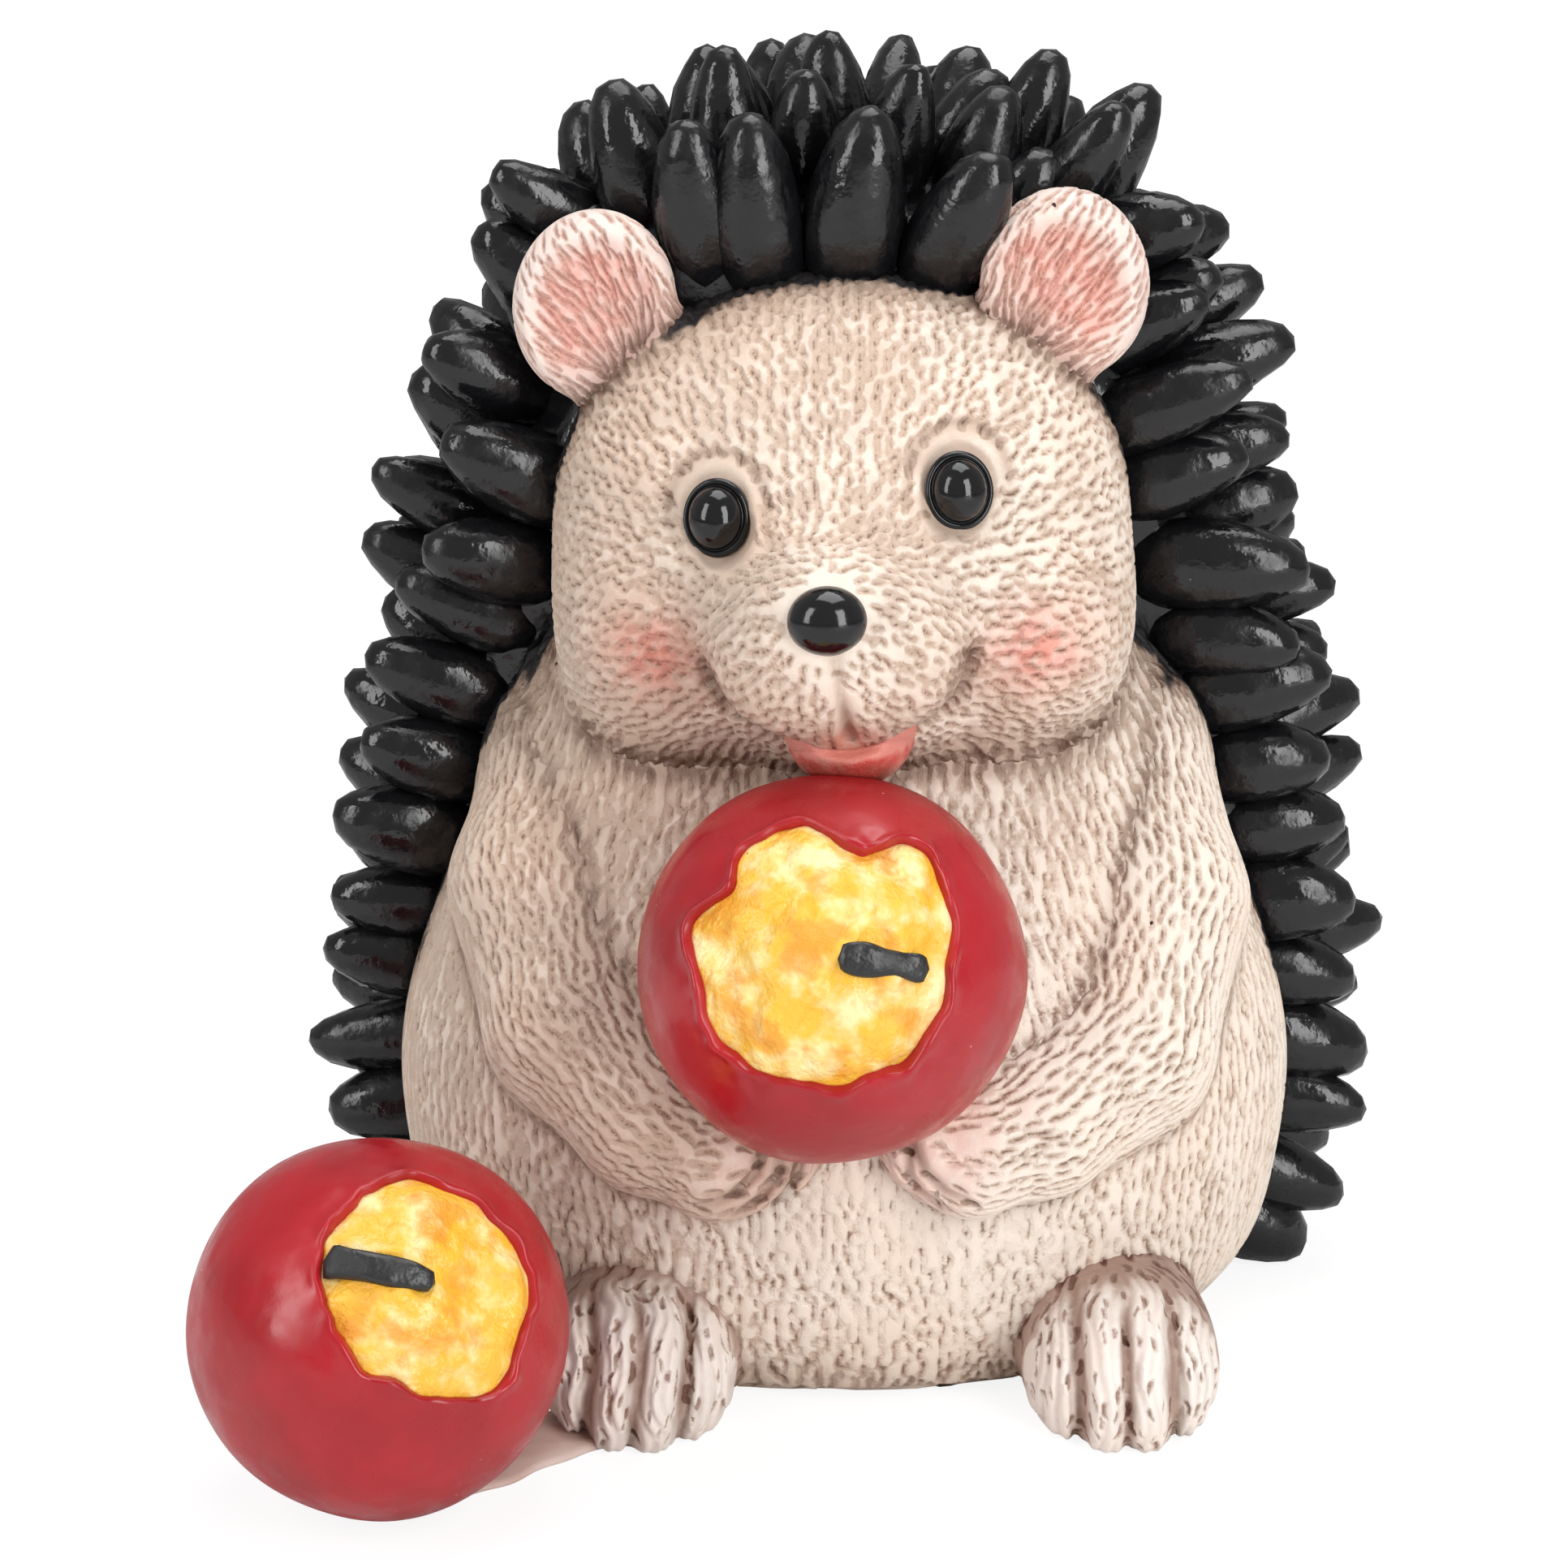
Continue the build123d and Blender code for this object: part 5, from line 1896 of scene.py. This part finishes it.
@dataclass(frozen=True)
class Studio:
    """The camera, the floor and the soft light."""

    elevation: float = 16.0
    away: float = 500.0
    target: tuple[float, float, float] = (-7.7, 0.0, 67.345)
    lens: float = 90.05
    floor_half: float = 4.0
    ambient: float = 0.3
    mirrored_share: float = 0.15
    floor_glow: tuple[float, float] = (0.87, 0.96)
    glow_reach: tuple[float, float] = (0.2, 0.9)
    lamp_aim: tuple[float, float, float] = (0.0, -0.02, 0.07)
    lamps: tuple[tuple[str, tuple[float, float, float], float, float, float], ...] = (
        ("left softbox", (-0.55, -0.4, 0.4), 0.2, 0.6, 2.2),
        ("right softbox", (0.42, -0.62, 0.36), 0.28, 0.7, 4.3),
        ("top softbox", (0.05, 0.05, 0.7), 0.45, 0.45, 2.4),
    )

    def build_camera(self) -> None:
        """Stand the camera where the photograph was taken from."""
        data = bpy.data.cameras.new("camera")
        data.lens = self.lens
        data.sensor_width = 36.0
        data.clip_start = 0.01
        camera = bpy.data.objects.new("camera", data)
        lift = math.radians(self.elevation)
        back = Vector((0, -math.cos(lift), math.sin(lift))) * self.away
        camera.location = (Vector(self.target) + back) * MILLIMETRE
        camera.rotation_euler = (math.pi / 2 - lift, 0, 0)
        bpy.context.scene.collection.objects.link(camera)
        bpy.context.scene.camera = camera

    def build_lamps(self) -> None:
        """Hang the lamps."""
        for name, place, width, height, power in self.lamps:
            data = bpy.data.lights.new(name, "AREA")
            data.shape = "RECTANGLE"
            data.size = width
            data.size_y = height
            data.energy = power
            lamp = bpy.data.objects.new(name, data)
            lamp.location = place
            aim = Vector(self.lamp_aim) - Vector(place)
            lamp.rotation_euler = aim.to_track_quat("-Z", "Y").to_euler()
            bpy.context.scene.collection.objects.link(lamp)

    def build_world(self) -> None:
        """Light the surroundings evenly, and show them white."""
        world = bpy.data.worlds.new("surroundings")
        world.use_nodes = True
        bpy.context.scene.world = world
        graph = Graph(world.node_tree)
        background = world.node_tree.nodes["Background"]
        rays = graph.add("ShaderNodeLightPath")
        seen = graph.math("MAXIMUM", rays.outputs["Is Camera Ray"], rays.outputs["Is Transmission Ray"])
        mirrored = graph.times(rays.outputs["Is Glossy Ray"], self.mirrored_share)
        shown = graph.times(graph.math("MAXIMUM", seen, mirrored), 1.0 - self.ambient)
        background.inputs["Color"].default_value = (1, 1, 1, 1)
        graph.link(graph.math("ADD", self.ambient, shown), background.inputs["Strength"])

    def build_floor(self) -> None:
        """Lay the pale floor, which keeps the object's shadow."""
        half = self.floor_half / MILLIMETRE
        corners = np.array([(-half, -half, 0), (half, -half, 0), (half, half, 0), (-half, half, 0)], float)
        floor = make_object("floor", corners, [[0, 1, 2, 3]])
        material = bpy.data.materials.new("pale floor")
        material.use_nodes = True
        graph = Graph(material.node_tree)
        material.node_tree.nodes.remove(material.node_tree.nodes["Principled BSDF"])
        rays = graph.add("ShaderNodeLightPath")
        seen = graph.math("MAXIMUM", rays.outputs["Is Camera Ray"], rays.outputs["Is Transmission Ray"])
        soft = graph.add("ShaderNodeBsdfDiffuse", {"Color": (0.2, 0.2, 0.2, 1)})
        place = graph.add("ShaderNodeTexCoord").outputs["Object"]
        away = graph.add("ShaderNodeVectorMath", {0: place}, operation="LENGTH").outputs["Value"]
        strength = graph.scaled(away, *self.glow_reach, *self.floor_glow)
        glow = graph.add("ShaderNodeEmission", {"Color": (1, 1, 1, 1), "Strength": strength})
        shown = graph.add("ShaderNodeAddShader", {0: soft.outputs[0], 1: glow.outputs[0]})
        plain = graph.add("ShaderNodeBsdfDiffuse", {"Color": (0.85, 0.85, 0.85, 1)})
        mix = graph.add("ShaderNodeMixShader", {0: seen, 1: plain.outputs[0], 2: shown.outputs[0]})
        output = next(n for n in material.node_tree.nodes if n.type == "OUTPUT_MATERIAL")
        graph.link(mix.outputs[0], output.inputs["Surface"])
        floor.data.materials.append(material)

    def build(self) -> None:
        """Build everything that isn't the figurine."""
        self.build_camera()
        self.build_lamps()
        self.build_world()
        self.build_floor()
        bpy.context.scene.view_settings.view_transform = "Standard"


FUR = CarvedFinish("carved fur")
FOOT_FUR = CarvedFinish(
    "brushed feet", recess=(0.26, 0.15, 0.11), middle=(0.45, 0.31, 0.245), ridge=(0.86, 0.79, 0.73),
    crease=(0.15, 0.06, 0.04),
)
EAR_FUR = CarvedFinish(
    "pink ears", recess=(0.42, 0.25, 0.2), middle=(0.68, 0.47, 0.4), ridge=(0.85, 0.72, 0.66),
    blush=(1.0, 0.6, 0.56),
)
MOUTH_PINK = CarvedFinish(
    "pink mouth", recess=(0.6, 0.18, 0.14), middle=(0.72, 0.25, 0.2), ridge=(0.84, 0.38, 0.32),
    blush=(0.8, 0.04, 0.03), roughness=0.35,
)
BLACK_GLOSS = GlossFinish(
    "gloss black beads", (0.004, 0.004, 0.005), (0.006, 0.006, 0.007), roughness=0.07, ripple_depth=0.05,
    speck=(0.2, 0.2, 0.2), speck_share=0.04,
)
CRIMSON = GlossFinish(
    "gloss crimson skin", (0.33, 0.005, 0.01), (0.42, 0.009, 0.016), roughness=0.24, ripple_size=7.0,
    ripple_depth=0.4,
)
SEED_BLACK = GlossFinish(
    "satin black seeds", (0.012, 0.012, 0.013), (0.02, 0.02, 0.02), roughness=0.32, ripple_size=1.5,
    ripple_depth=0.3, speck=(0.25, 0.25, 0.25), speck_share=0.15,
)
BARE_RESIN = GlossFinish("bare resin", (0.72, 0.6, 0.54), (0.6, 0.42, 0.36), roughness=0.4, ripple_size=3.0)

EYE_PROFILE = (
    (0, -3.0), (3.3, -3.0), (3.65, -0.4), (3.7, 0.6), (3.6, 1.0), (3.35, 1.2), (3.1, 1.05), (3.0, 0.9),
    (2.95, 1.3), (2.75, 2.0), (2.35, 2.7), (1.8, 3.25), (1.1, 3.65), (0.45, 3.8), (0, 3.85),
)
NOSE_PROFILE = (
    (0, -3.6), (1.6, -3.4), (2.9, -2.7), (3.8, -1.6), (4.2, -0.3), (4.1, 1.2), (3.55, 2.5), (2.7, 3.4),
    (1.7, 3.95), (0.8, 4.2), (0, 4.25),
)
BEADS = (
    Bead("right_eye", (-12.9, 31.4, 5.0), (-0.2, 1.0, 0.22), EYE_PROFILE, (1.08, 1.24)),
    Bead("left_eye", (14.8, 30.6, 6.75), (0.2, 1.0, 0.22), EYE_PROFILE, (1.08, 1.24)),
    Bead("nose", (0.0, 49.2, -3.4), (0.0, 1.0, 0.1), NOSE_PROFILE, (1.08, 0.94)),
)


def make_apples() -> tuple[Apple, Apple]:
    """Return the held apple and the ground apple."""
    held = Apple(
        "held_apple", (-2.3, -56.0, 61.5), 22.4, 24.0, 3.0, 16.2,
        (0.76, 0.8, 0.87, 0.91, 0.88, 0.72, 0.76, 0.95, 0.97, 0.98, 0.9, 1.02,
         1.0, 0.98, 1.03, 1.01, 0.97, 0.94, 0.95, 0.87, 0.88, 0.8, 0.8, 0.76),
        10.3, (0.27, -0.09), -8.0, False, 41,
    )
    ground = Apple(
        "ground_apple", (-54.1, -66.0, 21.6), 21.9, 36.0, 24.0, 14.2,
        (0.97, 0.93, 0.86, 0.88, 0.86, 0.92, 0.91, 0.87, 0.83, 0.81, 0.81, 0.8,
         0.76, 0.76, 0.78, 0.82, 0.77, 0.82, 0.91, 0.98, 1.01, 0.95, 0.9, 0.94),
        12.2, (-0.32, 0.14), -25.0, True, 57,
    )
    return held, ground


def make_torso() -> list[Torso]:
    """Return the torso's seen front and its hidden back, which needs no fine mesh."""
    both = {
        "node": "torso", "finish": FUR, "low": (-60, -52, -2), "high": (60, 14, 102), "blend": 0.01,
        "seed": 11,
    }
    return [
        Torso(seen=True, cell=2.5, halvings=2, **both),
        Torso(seen=False, ending="back", cell=2.6, halvings=0, **both),
    ]


def make_arms(torso: Torso) -> list[Arm]:
    """Return both arms, each with its path and the lines between its fingers."""
    right_path = (
        (0.42, 0.0, 0.84), (0.6, -0.26, 0.74), (0.65, -0.52, 0.62), (0.58, -0.8, 0.48), (0.42, -1.02, 0.39),
        (0.27, -1.12, 0.36), (0.17, -1.16, 0.37),
    )
    left_path = (
        (0.42, 0.0, 0.86), (0.6, -0.26, 0.76), (0.66, -0.52, 0.6), (0.59, -0.8, 0.45), (0.4, -1.02, 0.385),
        (0.25, -1.12, 0.365), (0.17, -1.16, 0.38),
    )
    right_fingers = (
        ((-10.2, 38.5), (-11.0, 35.5), (-13.5, 33.0), (-17.5, 31.2)),
        ((-7.8, 38.0), (-8.6, 35.0), (-10.5, 32.0), (-13.0, 30.2)),
        ((-5.8, 37.5), (-6.4, 34.5), (-7.6, 31.5), (-9.2, 29.8)),
    )
    left_fingers = (
        ((7.4, 39.0), (8.4, 35.8), (11.0, 33.2), (14.5, 31.6)),
        ((6.6, 38.5), (6.9, 35.0), (8.2, 32.2), (11.0, 30.6)),
    )
    arms = []
    # the last number paints the left arm paler: painted light for the brighter lamp on that side
    for side, path, fingers, low, high, painted_light in (
        (Side.RIGHT, right_path, right_fingers, -52, 0, 0.0),
        (Side.LEFT, left_path, left_fingers, 0, 52, 0.95),
    ):
        arms.append(Arm(
            node=f"{side.word}_arm", side=side, finish=FUR, torso=torso, path_shares=path, fingers=fingers,
            painted_light=painted_light, low=(low, -58, 24), high=(high, 12, 94), blend=3.0, seed=31 + side.value,
        ))
    return arms


def make_feet() -> list[Foot]:
    """Return both feet."""
    feet = []
    for side, centre, lean in ((Side.RIGHT, -25.3, 0.35), (Side.LEFT, 33.1, -0.1)):
        feet.append(Foot(
            node=f"{side.word}_foot", side=side, finish=FOOT_FUR, slot="foot_fur", centre_side=centre,
            lean=lean, low=(centre - 15, -60, -2), high=(centre + 15, -14, 21), blend=2.0, cell=1.2,
            seed=41 + side.value, spacing=1.5, stroke=1.7, half_width=0.34, depth=0.35,
        ))
    return feet


def make_ears(place: HeadFrame) -> list[Ear]:
    """Return both ears, each with the box that it lies in."""
    ears = []
    for side in (Side.RIGHT, Side.LEFT):
        ear = Ear(
            node=f"{side.word}_ear", side=side, finish=EAR_FUR, slot="ear_pink", place=place, blend=3.5,
            cell=1.0, seed=51 + side.value, spacing=1.2, stroke=3.4, half_width=0.33, depth=0.34, sooted_and_shaded=0.0,
        )
        middle = ear.back + ear.axes[2] * 4
        ear.low, ear.high = tuple(middle - 14), tuple(middle + 14)
        ears.append(ear)
    return ears


def make_animal(place: HeadFrame, ears: list[Ear], apples: tuple[Apple, Apple]) -> Animal:
    """Return the carved animal, form by form."""
    torso = make_torso()
    head = Head(
        node="head", finish=FUR, low=(-39, -63, 71), high=(39, 12, 139), blend=5.0, place=place, seed=21,
        spacing=1.25, stroke=1.7, half_width=0.42, depth=0.4, cell=1.78,
    )
    mouth = Mouth(
        node="mouth", finish=MOUTH_PINK, slot="mouth_pink", place=place, blend=0.8, cell=0.9,
        low=(-12, -57, 76), high=(12, -34, 94), seed=61,
    )
    return Animal([*torso, head, *make_arms(torso[0]), *make_feet(), *ears, mouth], CoatPlane(), apples)


def settle(piece: bpy.types.Object, slot: str, *nodes: str) -> None:
    """Seat a finished piece on the frame and report it."""
    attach(piece, BODY)
    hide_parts(*nodes)
    low = [min(v.co[i] for v in piece.data.vertices) / MILLIMETRE for i in range(3)]
    high = [max(v.co[i] for v in piece.data.vertices) / MILLIMETRE for i in range(3)]
    size = " ".join(f"{a:.1f}..{b:.1f}" for a, b in zip(low, high))
    report.info("%s: %d faces, %s mm", piece.name, len(piece.data.polygons), size)


def main() -> None:
    """Build the figurine over its frame, and the studio round it."""
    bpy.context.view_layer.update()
    kit = ShaderKit()
    Studio().build()
    place, apples = HeadFrame(), make_apples()
    ears = make_ears(place)
    animal = make_animal(place, ears, apples)
    carve = carving_tree()
    for piece in animal.pieces:
        settle(animal.build(piece, carve, kit), piece.slot, piece.node)
    black = BLACK_GLOSS.material(kit)
    for bead in BEADS:
        settle(bead.build(place, black), "gloss_black", bead.node)
    crimson, flesh, seeds = CRIMSON.material(kit), FleshFinish().material(kit), SEED_BLACK.material(kit)
    for apple in apples:
        settle(apple.build_skin(crimson), "apple_red", apple.node)
        settle(apple.build_flesh(flesh), "flesh_yellow", apple.node + "_flesh")
        settle(apple.build_seed(seeds), "seed_black", apple.node + "_seed")
    settle(ResinWeb().build(BARE_RESIN.material(kit)), "bare_resin", "base_web")
    coat = Coat(CoatPlane(), tuple(ears))
    quill_black = QuillFinish().material(kit)
    settle(coat.build_mantle(quill_black), "quill_black", "quill_backing")
    quills = quill_tree()
    for number in range(1, coat.arches + 2):
        settle(coat.build_row(number, quills, quill_black), "quill_black", f"quill_row_{number:02d}")


if __name__ == "__main__":
    main()
